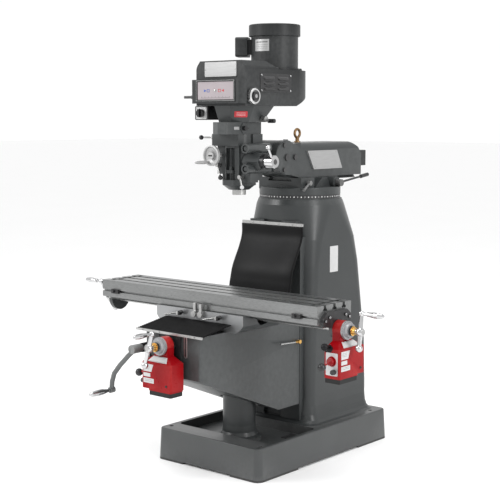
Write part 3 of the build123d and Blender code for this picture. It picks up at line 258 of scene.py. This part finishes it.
# ================================================================ frame values
table_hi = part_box("table")[1]
knee_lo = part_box("knee")[0]
belt_lo, belt_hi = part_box("belt_housing")
cover_lo, cover_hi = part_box("speed_cover")
spindle_mid = middle("spindle")
turret_mid = middle("turret")
motor_axis = middle("motor_fan_cover")
screw_mid = middle("table_screw")
cross_mid = middle("cross_screw")
wheel_mid = middle("speed_wheel")

# ================================================================ finishes on the CAD pieces
for name in ("column", "pedestal", "knee", "turret", "ram", "ram_adapter", "quill_housing", "feed_case",
             "gear_housing", "left_end_bracket"):
    give(name, paint)
for name in ("motor_fan_cover", "rear_box", "speed_cover"):
    give(name, sheet_paint)
give("base", pan_paint)
give("table", table_iron)
for name in ("clamp_bar", "elevating_screw", "table_screw", "cross_screw", "quill", "spindle", "stop_bracket"):
    give(name, steel)
for name in ("table_cranks", "y_crank"):
    give(name, chrome)
for name in ("knee_plate", "adapter_plate", "table_stop_dogs", "ram_pivot_bolts"):
    give(name, black_steel)
for name in ("brake_lever", "feed_selector_knob", "switch_knob", "y_feed_speed_knob", "x_feed_speed_knob"):
    give(name, black_plastic)
give("ram_side_plates", plate_metal)
give("eye_bolt", eye_metal)
give("belt_housing", sheet_paint)
give("motor", sheet_paint)
give("saddle", surface("saddle_paint", GREY, 0.36, mottle=0.07, scale=5.0, bump=0.22, bump_scale=260.0, coat=0.15,
                       zones=[([("half", (0.0, -1.0, 0.0), -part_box("saddle")[0][1] - 0.0006)],
                               (0.30, 0.305, 0.31), 0.34, 0.7)]))
switch_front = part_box("drum_switch")[0][1]
give("drum_switch", surface("switch_box", BLACK, 0.34, mottle=0.1, scale=20.0, bump=0.1,
                            zones=[([("half", (0.0, -1.0, 0.0), -switch_front - 0.0019)],
                                    (0.50, 0.50, 0.50), 0.36, 0.6)]))
give("speed_wheel", surface("speed_wheel_finish", (0.62, 0.62, 0.62), 0.22, metallic=0.9, scale=60.0,
                            zones=[([("rod", (0.0, wheel_mid[1], wheel_mid[2]), (1.0, 0.0, 0.0), 0.021)],
                                    BLACK, 0.3, 0.0),
                                   ([("rod", (0.0, wheel_mid[1], wheel_mid[2]), (1.0, 0.0, 0.0), 0.008),
                                     ("half", (1.0, 0.0, 0.0), 0.1699)], (0.35, 0.35, 0.35), 0.3, 0.6)]))
give("fine_feed_wheel", surface("fine_feed_finish", (0.36, 0.36, 0.36), 0.42, metallic=0.35, mottle=0.08,
                                scale=40.0, bump=0.12, bump_scale=400.0, wear=0.5,
                                zones=[([("half", (0.0, -1.0, 0.0), 0.3661),
                                         ("ball", (-0.059, -0.367, 1.372), 0.014)], BLACK, 0.35, 0.2)]))
lever_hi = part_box("quill_feed_lever")[1]
give("quill_feed_lever", surface("quill_lever_finish", CHROME, 0.14, metallic=1.0, mottle=0.04, scale=40.0,
                                 rough_spread=0.05,
                                 zones=[([("half", (-1.0, 0.0, 0.0), -0.1581)], BLACK, 0.32, 0.1),
                                        ([("half", (1.0, 0.0, 0.0), lever_hi[0] - 0.0015),
                                          ("rod", (0.0, -0.239, 1.347), (1.0, 0.0, 0.0), 0.012)],
                                         (0.05, 0.05, 0.05), 0.4, 0.2)]))
ends = {
    "quill_lock_lever": (end_of("quill_lock_lever", (0.70, 0.20, 0.12)), 0.011, CHROME),
    "feed_reverse_lever": (end_of("feed_reverse_lever", (0.79, 0.19, 0.14)), 0.0125, BLACK),
    "feed_trip_lever": (end_of("feed_trip_lever", (0.13, 0.22, 0.5)), 0.0125, BLACK),
    "x_feed_lever": (end_of("x_feed_lever", (0.45, 0.19, 0.35)), 0.019, BLACK),
    "y_feed_lever": (end_of("y_feed_lever", (0.19, 0.55, 0.35)), 0.019, BLACK),
}
for name, (centre, radius, color) in ends.items():
    rod = RED if name.endswith("feed_lever") else STEEL
    if name.endswith("feed_lever"):
        give(name, surface(name + "_finish", rod, 0.3, mottle=0.08, scale=40.0, bump=0.08,
                           zones=[([("ball", centre, radius)], BLACK, 0.3, 0.0)]))
    else:
        give(name, ball_lever(name + "_finish", centre, radius, ball=color))
for name in ("saddle_lever_left", "saddle_lever_right"):
    point = end_of(name, (0.78, 0.5, 0.5))
    give(name, surface(name + "_finish", STEEL, 0.25, metallic=0.9, scale=60.0,
                       zones=[([("half", (1.0, 0.0, 0.0), point[0])], BLACK, 0.35, 0.1)]))
give("knee_clamp_lever", surface("knee_clamp_finish", STEEL, 0.25, metallic=0.9, scale=60.0,
                                 zones=[([("half", (0.0, 1.0, 0.0), -0.058)], BRASS, 0.3, 0.9)]))
give("knee_crank", surface("knee_crank_finish", (0.10, 0.105, 0.105), 0.34, metallic=0.25, mottle=0.1, scale=20.0,
                           bump=0.2, bump_scale=300.0, wear=0.5,
                           zones=[([("half", (0.0, -1.0, 0.0), 0.7765), ("half", (0.0, 0.0, -1.0), -0.40)],
                                   CHROME, 0.2, 1.0),
                                  ([("half", (0.0, 1.0, 0.0), -0.7335), ("half", (0.0, 0.0, 1.0), 0.545)],
                                   BLACK, 0.35, 0.2)]))
pinion_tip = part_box("ram_pinion_lever")[1]
give("ram_pinion_lever", surface("pinion_lever_finish", (0.03, 0.03, 0.031), 0.34, metallic=0.3, mottle=0.15,
                                 scale=60.0, bump=0.1, bump_scale=500.0, wear=0.4,
                                 zones=[([("half", (0.0, 1.0, 0.0), pinion_tip[1] - 0.058)], BLACK, 0.3, 0.0)]))
give("ram_clamp_lever", surface("clamp_lever_finish", (0.16, 0.16, 0.16), 0.34, metallic=0.5, mottle=0.15,
                                scale=60.0, bump=0.1, bump_scale=500.0, wear=0.4))
give("range_lever", surface("range_lever_finish", STEEL, 0.3, metallic=0.9, scale=60.0,
                            zones=[([("half", (0.0, 1.0, 0.0), -0.1745)], BLACK, 0.3, 0.0)]))
for tag, axis in (("x", (1.0, 0.0, 0.0)), ("y", (0.0, -1.0, 0.0))):
    low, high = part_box(tag + "_feed_housing")
    bottom = low[2]
    start = Vector(axis).dot(Vector(high if tag == "x" else low)) - 0.088
    give(tag + "_feed_housing", surface(
        tag + "_feed_finish", RED, 0.30, mottle=0.08, scale=10.0, bump=0.14, bump_scale=320.0, wear=0.25,
        wear_color=(0.75, 0.12, 0.10), coat=0.02, specular=0.13,
        zones=[([("half", (0.0, 0.0, -1.0), -(bottom + 0.0188))], (0.02, 0.02, 0.02), 0.5, 0.0),
               ([("ball", (start + 0.029, low[1] + 0.023, bottom + 0.148) if tag == "x"
                  else (low[0] + 0.023, high[1] - 0.029, bottom + 0.148), 0.03)], BLACK, 0.3, 0.0)]))
    give(tag + "_feed_dial", surface(
        tag + "_dial_finish", (0.30, 0.30, 0.31), 0.36, metallic=0.5, mottle=0.06, scale=60.0, bump=0.05,
        zones=[([("half", axis, start + 0.0841)], BLACK, 0.3, 0.0),
               ([("half", axis, start + 0.0941)], BRASS, 0.25, 1.0)]))


# ================================================================ shapes for the added pieces
def place(origin, across, out):
    """Frame of a flat piece: u runs across, v = out x across, w points out of the surface."""
    across = Vector(across).normalized()
    out = Vector(out).normalized()
    up = out.cross(across)
    origin = Vector(origin)
    return lambda u, v, w: origin + across * u + up * v + out * w


def rounded(width, height, radius, u0=0.0, v0=0.0, steps=5):
    points = []
    for su, sv, turn in ((1, 1, 0), (-1, 1, 90), (-1, -1, 180), (1, -1, 270)):
        for k in range(steps + 1):
            angle = math.radians(turn + 90.0 * k / steps)
            points.append((u0 + su * (width / 2 - radius) + radius * math.cos(angle),
                           v0 + sv * (height / 2 - radius) + radius * math.sin(angle)))
    return points


def circle(radius, u0=0.0, v0=0.0, steps=24):
    return [(u0 + radius * math.cos(2 * math.pi * k / steps), v0 + radius * math.sin(2 * math.pi * k / steps))
            for k in range(steps)]


class Shape:
    """Faces gathered for one object, with a material number for each."""

    def __init__(self):
        self.verts = []
        self.faces = []
        self.slots = []

    def loft(self, rings, mat=0, closed=True):
        start = len(self.verts)
        count = len(rings[0])
        for ring in rings:
            self.verts += [tuple(p) for p in ring]
        for i in range(len(rings) - 1):
            for k in range(count):
                a = start + i * count + k
                b = start + i * count + (k + 1) % count
                self.faces.append((a, b, b + count, a + count))
                self.slots.append(mat)
        if closed:
            self.faces.append(tuple(reversed(range(start, start + count))))
            self.faces.append(tuple(range(start + (len(rings) - 1) * count, start + len(rings) * count)))
            self.slots += [mat, mat]

    def prism(self, at, outline, depth, mat=0, inset=0.0, base=0.0, shift=(0.0, 0.0)):
        """Outline raised from the surface, its top edge bevelled by inset and moved by shift."""
        mid_u = (min(p[0] for p in outline) + max(p[0] for p in outline)) / 2
        mid_v = (min(p[1] for p in outline) + max(p[1] for p in outline)) / 2
        half_u = max(p[0] for p in outline) - mid_u
        half_v = max(p[1] for p in outline) - mid_v
        top = [(mid_u + (u - mid_u) * (1 - inset / half_u) + shift[0],
                mid_v + (v - mid_v) * (1 - inset / half_v) + shift[1]) for u, v in outline]
        rings = [[at(u, v, base) for u, v in outline]]
        if inset and not any(shift):
            rings.append([at(u, v, depth - inset * 0.7) for u, v in outline])
        rings.append([at(u, v, depth) for u, v in top])
        self.loft(rings, mat)

    def lathe(self, at, profile, mat=0, steps=48):
        """Profile of (radius, height) turned about the w axis of the frame."""
        rings = []
        for radius, height in profile:
            rings.append([at(radius * math.cos(2 * math.pi * k / steps), radius * math.sin(2 * math.pi * k / steps),
                             height) for k in range(steps)])
        self.loft(rings, mat)

    def screw(self, at, u, v, radius, height, mat=0, base=0.0):
        """Domed head with a sunk recess."""
        here = lambda a, b, c: at(u + a, v + b, c)
        self.lathe(here, [(radius, base), (radius, base + height * 0.6), (radius * 0.82, base + height),
                          (radius * 0.5, base + height), (radius * 0.45, base + height * 0.45)], mat, 12)

    def make(self, name, mats, body, smooth=False):
        mesh = bpy.data.meshes.new(name)
        mesh.from_pydata(self.verts, [], self.faces)
        for mat in mats:
            mesh.materials.append(mat)
        for face, number in zip(mesh.polygons, self.slots):
            face.material_index = number
            face.use_smooth = smooth
        mesh.update()
        obj = bpy.data.objects.new(name, mesh)
        scene.collection.objects.link(obj)
        if body:
            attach(obj, body)
        return obj


# ================================================================ head details
front = place((0.003, belt_lo[1], belt_hi[2] - 0.037), (1, 0, 0), (0, -1, 0))
shape = Shape()
shape.prism(front, rounded(0.182, 0.064, 0.006), 0.004, inset=0.0015)
for u in (-0.084, 0.084):
    shape.screw(front, u, 0.0, 0.003, 0.0015, mat=1, base=0.004)
shape.make("head_plate", [plate_metal, steel], "head")

panel = place((0.003, cover_lo[1] + 0.004, (cover_lo[2] + cover_hi[2]) / 2 + 0.003), (1, 0, 0), (0, -1, 0))
shape = Shape()
shape.prism(panel, rounded(0.206, 0.076, 0.002), 0.0012, inset=0.0004)
tri = [(-0.008, -0.0055), (0.006, 0.0), (-0.008, 0.0055)]
shape.prism(panel, [(u - 0.057, v) for u, v in tri], 0.0018, mat=1)
shape.prism(panel, [(0.041 - u, -v) for u, v in tri], 0.0018, mat=2)
for u0, mat in ((-0.041, 1), (0.024, 2)):
    for du, dv, w, h in ((0, 0.0055, 0.014, 0.0018), (0, -0.0055, 0.014, 0.0018),
                         (-0.0062, 0, 0.0018, 0.011), (0.0062, 0, 0.0018, 0.011)):
        shape.prism(panel, rounded(w, h, 0.0004, u0 + du, dv), 0.0018, mat=mat)
shape.lathe(lambda a, b, c: panel(a - 0.002, b, c),
            [(0.006, 0.001), (0.0058, 0.003), (0.004, 0.0048), (0.0015, 0.0055)], mat=3, steps=24)
for k in range(9):
    shape.prism(panel, rounded(0.0008, 0.005, 0.0002, -0.080 + 0.02 * k, -0.027), 0.0016, mat=4)
shape.prism(panel, rounded(0.164, 0.0007, 0.0002, 0.0, -0.0305), 0.0016, mat=4)
for du, dv, w, h in ((0, 0.043, 0.222, 0.0012), (0, -0.043, 0.222, 0.0012), (-0.108, 0, 0.0012, 0.086),
                     (0.108, 0, 0.0012, 0.086)):
    shape.prism(panel, rounded(w, h, 0.0004, du, dv), 0.0046, mat=3, base=0.0041)
shape.make("speed_panel", [pink_panel, blue_ink, red_ink, steel, ink_and_painted_shade], "head")

shape = Shape()
for side in (-1, 1):
    vent = place((side * belt_hi[0], -0.160, belt_lo[2] + 0.098), (0, side, 0), (side, 0, 0))
    shape.prism(vent, rounded(0.212, 0.080, 0.003), 0.003, inset=0.001)
    for u in (-0.048, 0.048):
        for v in (-0.022, 0.0, 0.022):
            shape.prism(vent, rounded(0.072, 0.013, 0.006, u, v), 0.0085, inset=0.003, base=0.003,
                        shift=(0.0, -0.0035))
            # the thin near-black strip below each louvre is painted shade for the dark opening under the louvre lip
            shape.prism(vent, rounded(0.060, 0.0030, 0.0014, u, v - 0.0072), 0.0042, mat=2, base=0.003)
    for u in (-0.099, 0.099):
        for v in (-0.033, 0.033):
            shape.screw(vent, u, v, 0.0042, 0.0028, mat=1, base=0.003)
shape.make("vent_plates", [black_steel, chrome, ink_and_painted_shade], "head")

facet = place((0.0672, -0.3078, 1.551), (66, 84, 0), (5846, -4594, -2433))
shape = Shape()
shape.prism(facet, rounded(0.058, 0.027, 0.003, 0.0, 0.0), 0.0009, inset=0.0003)
for v in (0.006, 0.0, -0.006):
    shape.prism(facet, rounded(0.040, 0.0008, 0.0003, 0.0, v), 0.0011, mat=1)
shape.make("gear_housing_plate", [red_ink, white_ink], "head")

shape = Shape()
arc = [math.radians(a) for a in range(-104, -63, 2)]
plate_r = 0.1062
for z0, z1, r, mat in ((1.830, 1.882, plate_r + 0.0008, 0), (1.868, 1.8715, plate_r + 0.0012, 1),
                       (1.858, 1.8588, plate_r + 0.0012, 1), (1.850, 1.8508, plate_r + 0.0012, 1),
                       (1.842, 1.8428, plate_r + 0.0012, 1)):
    trim = 0 if mat == 0 else 2
    run = arc[trim:len(arc) - trim]
    inner = [(motor_axis[0] + plate_r * math.cos(a), motor_axis[1] + plate_r * math.sin(a)) for a in run]
    outer = [(motor_axis[0] + r * math.cos(a), motor_axis[1] + r * math.sin(a)) for a in reversed(run)]
    ring = inner + outer
    shape.loft([[(x, y, z0) for x, y in ring], [(x, y, z1) for x, y in ring]], mat)
shape.make("motor_plate", [plate_metal, ink_and_painted_shade], "head")

# lid and screws of the motor's junction box, ribs of the fan cover
out = Vector((-0.85, -0.52, 0.0)).normalized()
lid = place(Vector((motor_axis[0], motor_axis[1], 1.852)) + out * 0.170, Vector((0, 0, 1)).cross(out), out)
shape = Shape()
shape.prism(lid, rounded(0.089, 0.086, 0.009), 0.0035, inset=0.0015)
for u in (-0.036, 0.036):
    for v in (-0.035, 0.035):
        shape.screw(lid, u, v, 0.003, 0.0015, mat=1, base=0.0035)
shape.make("junction_box_lid", [sheet_paint, steel], "head")
shape = Shape()
ring_at = place((motor_axis[0], motor_axis[1], 0.0), (1, 0, 0), (0, 0, 1))
shape.lathe(ring_at, [(0.1059, 1.8970), (0.1130, 1.8975), (0.1130, 1.8992), (0.1059, 1.8994)])
shape.lathe(ring_at, [(0.1059, 1.7525), (0.1090, 1.7525), (0.1090, 1.7575), (0.1059, 1.7590)])
for k in range(4):
    angle = math.radians(45 + 90 * k)
    shape.screw(ring_at, 0.117 * math.cos(angle), 0.117 * math.sin(angle), 0.006, 0.005, mat=1,
                base=belt_hi[2] - 0.0270)
shape.make("motor_bands", [sheet_paint, black_steel], "head")

# quill scale and selector marks
shape = Shape()
scale_at = place((0.0225, spindle_mid[1] - 0.0455, 1.335), (1, 0, 0), (0, -1, 0))
shape.prism(scale_at, rounded(0.006, 0.130, 0.0006), 0.0008)
for k in range(26):
    shape.prism(scale_at, rounded(0.0022 if k % 5 else 0.0045, 0.0005, 0.0002, 0.0, -0.0625 + 0.005 * k), 0.001, mat=1)
shape.make("quill_scale", [plate_metal, ink_and_painted_shade], "head")
case_side = place((0.0650, -0.287, 1.491), (0, 1, 0), (1, 0, 0))
shape = Shape()
for angle in (45, 135, 225, 315):
    u, v = 0.0165 * math.cos(math.radians(angle)), 0.0165 * math.sin(math.radians(angle))
    shape.prism(case_side, circle(0.0016, u * 0.85, v * 0.85, 10), 0.0006, mat=1)
side_plate = place((0.0620, -0.330, 1.491), (0, 1, 0), (1, 0, 0))
shape.prism(side_plate, rounded(0.034, 0.013, 0.002), 0.0012, inset=0.0004)
shape.make("selector_marks", [plate_metal, ink_and_painted_shade], "head")

# marks on the switch plate
switch_mid = middle("drum_switch")
switch_at = place((switch_mid[0], switch_front, switch_mid[2]), (1, 0, 0), (0, -1, 0))
shape = Shape()
for u in (-0.026, 0.026):
    for v in (-0.021, 0.021):
        shape.screw(switch_at, u, v, 0.0024, 0.0012, mat=1)
for angle in (60, 90, 120):
    u, v = 0.023 * math.cos(math.radians(angle)), 0.023 * math.sin(math.radians(angle))
    shape.prism(switch_at, circle(0.0014, u, v, 10), 0.0005)
shape.make("switch_marks", [ink_and_painted_shade, steel], "head")

# ================================================================ turret, ram and column details
shape = Shape()
axis_at = place((turret_mid[0], turret_mid[1], 0.0), (1, 0, 0), (0, 0, 1))
shape.lathe(axis_at, [(0.1882, 1.1700), (0.1892, 1.1704), (0.1892, 1.1846), (0.1882, 1.1850)], steps=96)
for k in range(72):
    angle = math.radians(5 * k)
    spot = place((turret_mid[0] + 0.1892 * math.cos(angle), turret_mid[1] + 0.1892 * math.sin(angle), 1.1775),
                 (-math.sin(angle), math.cos(angle), 0), (math.cos(angle), math.sin(angle), 0))
    shape.prism(spot, rounded(0.0016 if k % 2 else 0.004, 0.006 if k % 2 else 0.005, 0.0004), 0.0004, mat=1)
shape.make("turret_degree_band", [ink_and_painted_shade, white_ink], "turret")

nod = (0.0, -0.033, 1.359)
shape = Shape()
for side in (-1, 1):
    cheek = place((side * 0.1, nod[1], nod[2]), (0, side, 0), (side, 0, 0))
    for k in range(29):
        angle = math.radians(100 + 160 * k / 28) if side > 0 else math.radians(80 - 160 * k / 28)
        shape.prism(cheek, circle(0.0022, 0.0735 * math.cos(angle), 0.0735 * math.sin(angle), 8), 0.0006)
shape.make("nod_scale_dots", [ink_and_painted_shade], "ram")

shape = Shape()
for side in (-1, 1):
    rim = place((side * 0.108, 0.2475, 1.343), (0, side, 0), (side, 0, 0))
    for u, v in ((-0.112, 0.034), (0.080, 0.034), (-0.078, -0.034), (0.112, -0.034)):
        shape.screw(rim, u if side > 0 else -u, v, 0.003, 0.0014)
shape.make("side_plate_screws", [steel], "ram")

label_at = place((0.2000, 0.194, 0.889), (0, 1, 0), (1, 0, 0))
shape = Shape()
shape.prism(label_at, rounded(0.062, 0.120, 0.003), 0.0008, inset=0.0003)
shape.make("column_blank_plate", [paper], "base")

# drain grate in the pan
drain = place((0.190, -0.080, 0.100), (1, 0, 0), (0, 0, 1))
shape = Shape()
shape.prism(drain, rounded(0.100, 0.080, 0.006), 0.0025, inset=0.0008)
for k in range(5):
    # the near-black strips on the grate are painted shade for its open slots
    shape.prism(drain, rounded(0.072, 0.005, 0.0024, 0.0, -0.026 + 0.013 * k), 0.0029, mat=1, base=0.0025)
shape.make("drain_grate", [black_steel, ink_and_painted_shade], "base")

# ================================================================ knee and table details
shape = Shape()
slot_at = place((0.076, knee_lo[1], 0.590), (1, 0, 0), (0, -1, 0))
shape.prism(slot_at, rounded(0.018, 0.100, 0.008), 0.0010, inset=0.0004)
# the near-black strip inside the liner is painted shade for the depth of the slot
shape.prism(slot_at, rounded(0.007, 0.084, 0.003), 0.0013, mat=1)
shape.make("knee_slot_liner", [steel, ink_and_painted_shade], "knee")

shape = Shape()
end_at = place((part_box("adapter_plate")[1][0] - 0.004, screw_mid[1], 0.0), (0, 1, 0), (1, 0, 0))
for u, v in ((-0.054, 0.744), (0.054, 0.744), (-0.080, 0.732), (0.080, 0.732)):
    shape.screw(end_at, u, v, 0.0055, 0.0052, base=0.0)
shape.make("adapter_screws", [chrome], "table")


def feed_details(tag, origin, ex, ey, body, screw_body):
    """Plain labels, control plate and dial marks of one power feed."""
    ex, ey, ez, origin = Vector(ex), Vector(ey), Vector((0, 0, 1)), Vector(origin)

    def at(x, y, z):
        return origin + ex * x + ey * y + ez * z

    end = place(at(0.088, 0, 0), ey, ex)
    shape = Shape()
    shape.prism(end, [(-0.072, -0.076), (-0.014, -0.076), (-0.026, -0.108), (-0.072, -0.108)][::-1], 0.0007)
    shape.prism(end, rounded(0.040, 0.016, 0.001, -0.052, -0.122), 0.0007)
    shape.prism(end, rounded(0.060, 0.020, 0.001, -0.042, -0.146), 0.0007)
    for v in (-0.084, -0.090, -0.096):
        shape.prism(end, rounded(0.030, 0.0007, 0.0002, -0.050, v), 0.0009, mat=1)
    for v in (-0.142, -0.148):
        shape.prism(end, rounded(0.046, 0.0007, 0.0002, -0.042, v), 0.0009, mat=1)
    slope = ex * 0.028 + ez * 0.030
    brow = place(at(0.073, 0.004, -0.054), ey, slope)
    shape.prism(brow, [(-0.040, 0.014), (0.040, 0.014), (0.054, -0.015), (-0.054, -0.015)][::-1], 0.0008)
    for u, v, w, h in ((0.0, 0.0115, 0.070, 0.0008), (0.0, -0.0125, 0.096, 0.0008)):
        shape.prism(brow, rounded(w, h, 0.0003, u, v), 0.001, mat=1)
    control = place(at(0.0, -0.082, 0.0), ex, -ey)
    shape.prism(control, rounded(0.058, 0.092, 0.005, 0.049, -0.128), 0.0008, inset=0.0002)
    shape.prism(control, circle(0.021, 0.050, -0.116, 28), 0.0030, mat=2, inset=0.001)
    for k in range(11):
        angle = math.radians(-140 + 28 * k)
        shape.prism(control, circle(0.0009, 0.066 + 0.0135 * math.sin(angle), -0.156 + 0.0135 * math.cos(angle), 8),
                    0.001, mat=1)
    shape.screw(end, 0.060, -0.158, 0.0052, 0.003, mat=3)
    for u in (-0.028, 0.028):
        shape.screw(place(at(0.058, 0, 0), ey, ex), u, -0.022, 0.0035, 0.0025, mat=3)
    shape.make(tag + "_feed_labels", [paper, ink_and_painted_shade, red_paint, black_plastic], body)
    shape = Shape()
    for k in range(50):
        angle = 2 * math.pi * k / 50
        radial = ey * math.cos(angle) + ez * math.sin(angle)
        spot = place(at(0.0665, 0, 0) + radial * 0.038, radial.cross(ex), radial)
        length = 0.006 if k % 5 == 0 else 0.0035
        shape.prism(spot, rounded(0.0007, length, 0.0002), 0.0002)
    for k in range(24):
        angle = 2 * math.pi * k / 24
        radial = ey * math.cos(angle) + ez * math.sin(angle)
        spot = place(at(0.0605, 0, 0) + radial * 0.038, radial.cross(ex), radial)
        shape.prism(spot, rounded(0.0022, 0.003, 0.0006), 0.0004, mat=1)
    shape.make(tag + "_dial_marks", [ink_and_painted_shade, steel], screw_body)


table_end = (table_hi[0], screw_mid[1], screw_mid[2])
knee_end = (0.0, -0.683, cross_mid[2])
feed_details("x", table_end, (1, 0, 0), (0, 1, 0), "table", "table_screw")
feed_details("y", knee_end, (0, -1, 0), (1, 0, 0), "knee", "cross_screw")

# ================================================================ soft covers
def strip(name, line, half, thick, mats, waves):
    """Flexible sheet that follows a line of (y, z) points, with its own thickness and soft waves."""
    columns = 36
    verts, faces = [], []
    flat = [Vector((0.0, y, z)) for y, z in line]
    for layer in (0, 1):
        for i, point in enumerate(flat):
            ahead = flat[min(i + 1, len(flat) - 1)] - flat[max(i - 1, 0)]
            normal = Vector((1, 0, 0)).cross(ahead).normalized()
            for k in range(columns + 1):
                x = -half + 2 * half * k / columns
                push = waves(x / half, i / (len(flat) - 1))
                shifted = point + normal * (push + (thick if layer else 0.0))
                verts.append((x, shifted.y, shifted.z))
    row = columns + 1
    size = row * len(flat)
    for i in range(len(flat) - 1):
        for k in range(columns):
            a = i * row + k
            faces.append((a, a + 1, a + row + 1, a + row))
            faces.append((size + a, size + a + row, size + a + row + 1, size + a + 1))
    rim = ([(0, k) for k in range(columns)] + [(i, columns) for i in range(len(flat) - 1)]
           + [(len(flat) - 1, k) for k in range(columns, 0, -1)] + [(i, 0) for i in range(len(flat) - 1, 0, -1)])
    order = [i * row + k for i, k in rim]
    for a, b in zip(order, order[1:] + order[:1]):
        faces.append((b, a, size + a, size + b))
    mesh = bpy.data.meshes.new(name)
    mesh.from_pydata(verts, [], faces)
    for mat in mats:
        mesh.materials.append(mat)
    for face in mesh.polygons:
        face.use_smooth = True
    mesh.update()
    obj = bpy.data.objects.new(name, mesh)
    scene.collection.objects.link(obj)
    length = sum((b - a).length for a, b in zip(flat, flat[1:]))
    return obj, length


def smooth_line(points, steps):
    """Catmull-Rom curve through the points."""
    pts = [Vector(p) for p in points]
    pts = [pts[0] * 2 - pts[1]] + pts + [pts[-1] * 2 - pts[-2]]
    line = []
    for i in range(1, len(pts) - 2):
        for k in range(steps):
            t = k / steps
            p0, p1, p2, p3 = pts[i - 1:i + 3]
            line.append(0.5 * ((2 * p1) + (p2 - p0) * t + (2 * p0 - 5 * p1 + 4 * p2 - p3) * t * t
                               + (3 * p1 - p0 - 3 * p2 + p3) * t ** 3))
    line.append(pts[-2])
    return [(p[0], p[1]) for p in line]


rear_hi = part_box("rear_way_cover")[1]
drop = [(-0.016, 1.049), (-0.019, 1.000), (-0.040, 0.950), (-0.088, 0.862), (-0.104, 0.800), (-0.118, 0.735),
        (-0.150, 0.688), (-0.190, 0.668), (-0.2277, 0.664)]


def rear_wave(x, t):
    edge = max(0.0, abs(x) - 0.72) / 0.28
    belly = math.sin(math.pi * min(1.0, t * 1.25))
    return (0.0016 * math.sin(5.1 * x + 3.0 * t) * belly + 0.0045 * edge ** 2 * belly
            + 0.0012 * math.sin(11.0 * t + 2.0 * x) * belly)


rear_cover, rear_length = strip("rear_rubber_cover", smooth_line(drop, 8), rear_hi[0], 0.0026, [rubber],
                                rear_wave)
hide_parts("rear_way_cover")
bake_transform(rear_cover)

front_lo, front_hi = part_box("front_way_cover")
folds = []
pleats = 15
pitch = 0.180 / pleats
for i in range(pleats):
    y = -0.6905 + pitch * i
    z = 0.6425 + 0.029 * i / pleats
    folds += [(y, z - 0.002), (y + pitch * 0.25, z + 0.0012), (y + pitch * 0.5, z + 0.0035),
              (y + pitch * 0.75, z + 0.0012)]
folds.append((-0.5118, 0.6695))
front_cover, front_length = strip("front_pleated_cover", folds, front_hi[0] - 0.003, 0.0012, [pleat_rubber],
                                  lambda x, t: 0.0)
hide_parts("front_way_cover")
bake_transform(front_cover)
shape = Shape()
lip = place((0.0, front_lo[1], 0.6405), (1, 0, 0), (0, -1, 0))
shape.prism(lip, rounded(2 * front_hi[0], 0.010, 0.002), 0.0, base=-0.0045)
for k in range(4):
    shape.screw(lip, -0.15 + 0.1 * k, 0.0, 0.003, -0.0002, base=0.0)
shape.make("front_cover_strip", [steel], "knee")

# ================================================================ floor, light and camera
floor_mesh = bpy.data.meshes.new("floor")
floor_mesh.from_pydata([(-60, -60, 0), (60, -60, 0), (60, 60, 0), (-60, 60, 0)], [], [(0, 1, 2, 3)])
floor = bpy.data.objects.new("floor", floor_mesh)
scene.collection.objects.link(floor)
floor.location.z = -0.0005
floor_mesh.materials.append(surface("studio_floor", (0.94, 0.94, 0.94), 0.8, mottle=0.004, scale=1.0, bump=0.02,
                                    bump_scale=60.0))

world = bpy.data.worlds.new("studio")
scene.world = world
world.use_nodes = True
world.node_tree.nodes["Background"].inputs[0].default_value = (1.0, 1.0, 1.0, 1.0)
world.node_tree.nodes["Background"].inputs[1].default_value = 1.02


def area_light(name, spot, target, size, power):
    data = bpy.data.lights.new(name, "AREA")
    data.shape = "RECTANGLE"
    data.size = size[0]
    data.size_y = size[1]
    data.energy = power
    lamp = bpy.data.objects.new(name, data)
    scene.collection.objects.link(lamp)
    lamp.location = spot
    lamp.rotation_euler = (Vector(target) - Vector(spot)).to_track_quat("-Z", "Y").to_euler()


area_light("key", (-2.6, -3.6, 3.4), (0.0, -0.2, 0.9), (1.6, 2.0), 120)
area_light("side", (4.2, -0.4, 2.6), (0.1, 0.0, 0.9), (1.0, 2.6), 95)
area_light("top", (0.2, -0.6, 4.4), (0.0, -0.1, 0.8), (2.4, 2.4), 55)

camera_data = bpy.data.cameras.new("camera")
camera_data.lens = 84.894
camera_data.sensor_width = 36.0
camera_data.clip_end = 200.0
camera = bpy.data.objects.new("camera", camera_data)
scene.collection.objects.link(camera)
camera.location = (3.40305, -4.17233, 1.53622)
camera.rotation_euler = (math.radians(90.0 - 6.404), 0.0, math.radians(40.362))
scene.camera = camera
scene.view_settings.view_transform = "Standard"
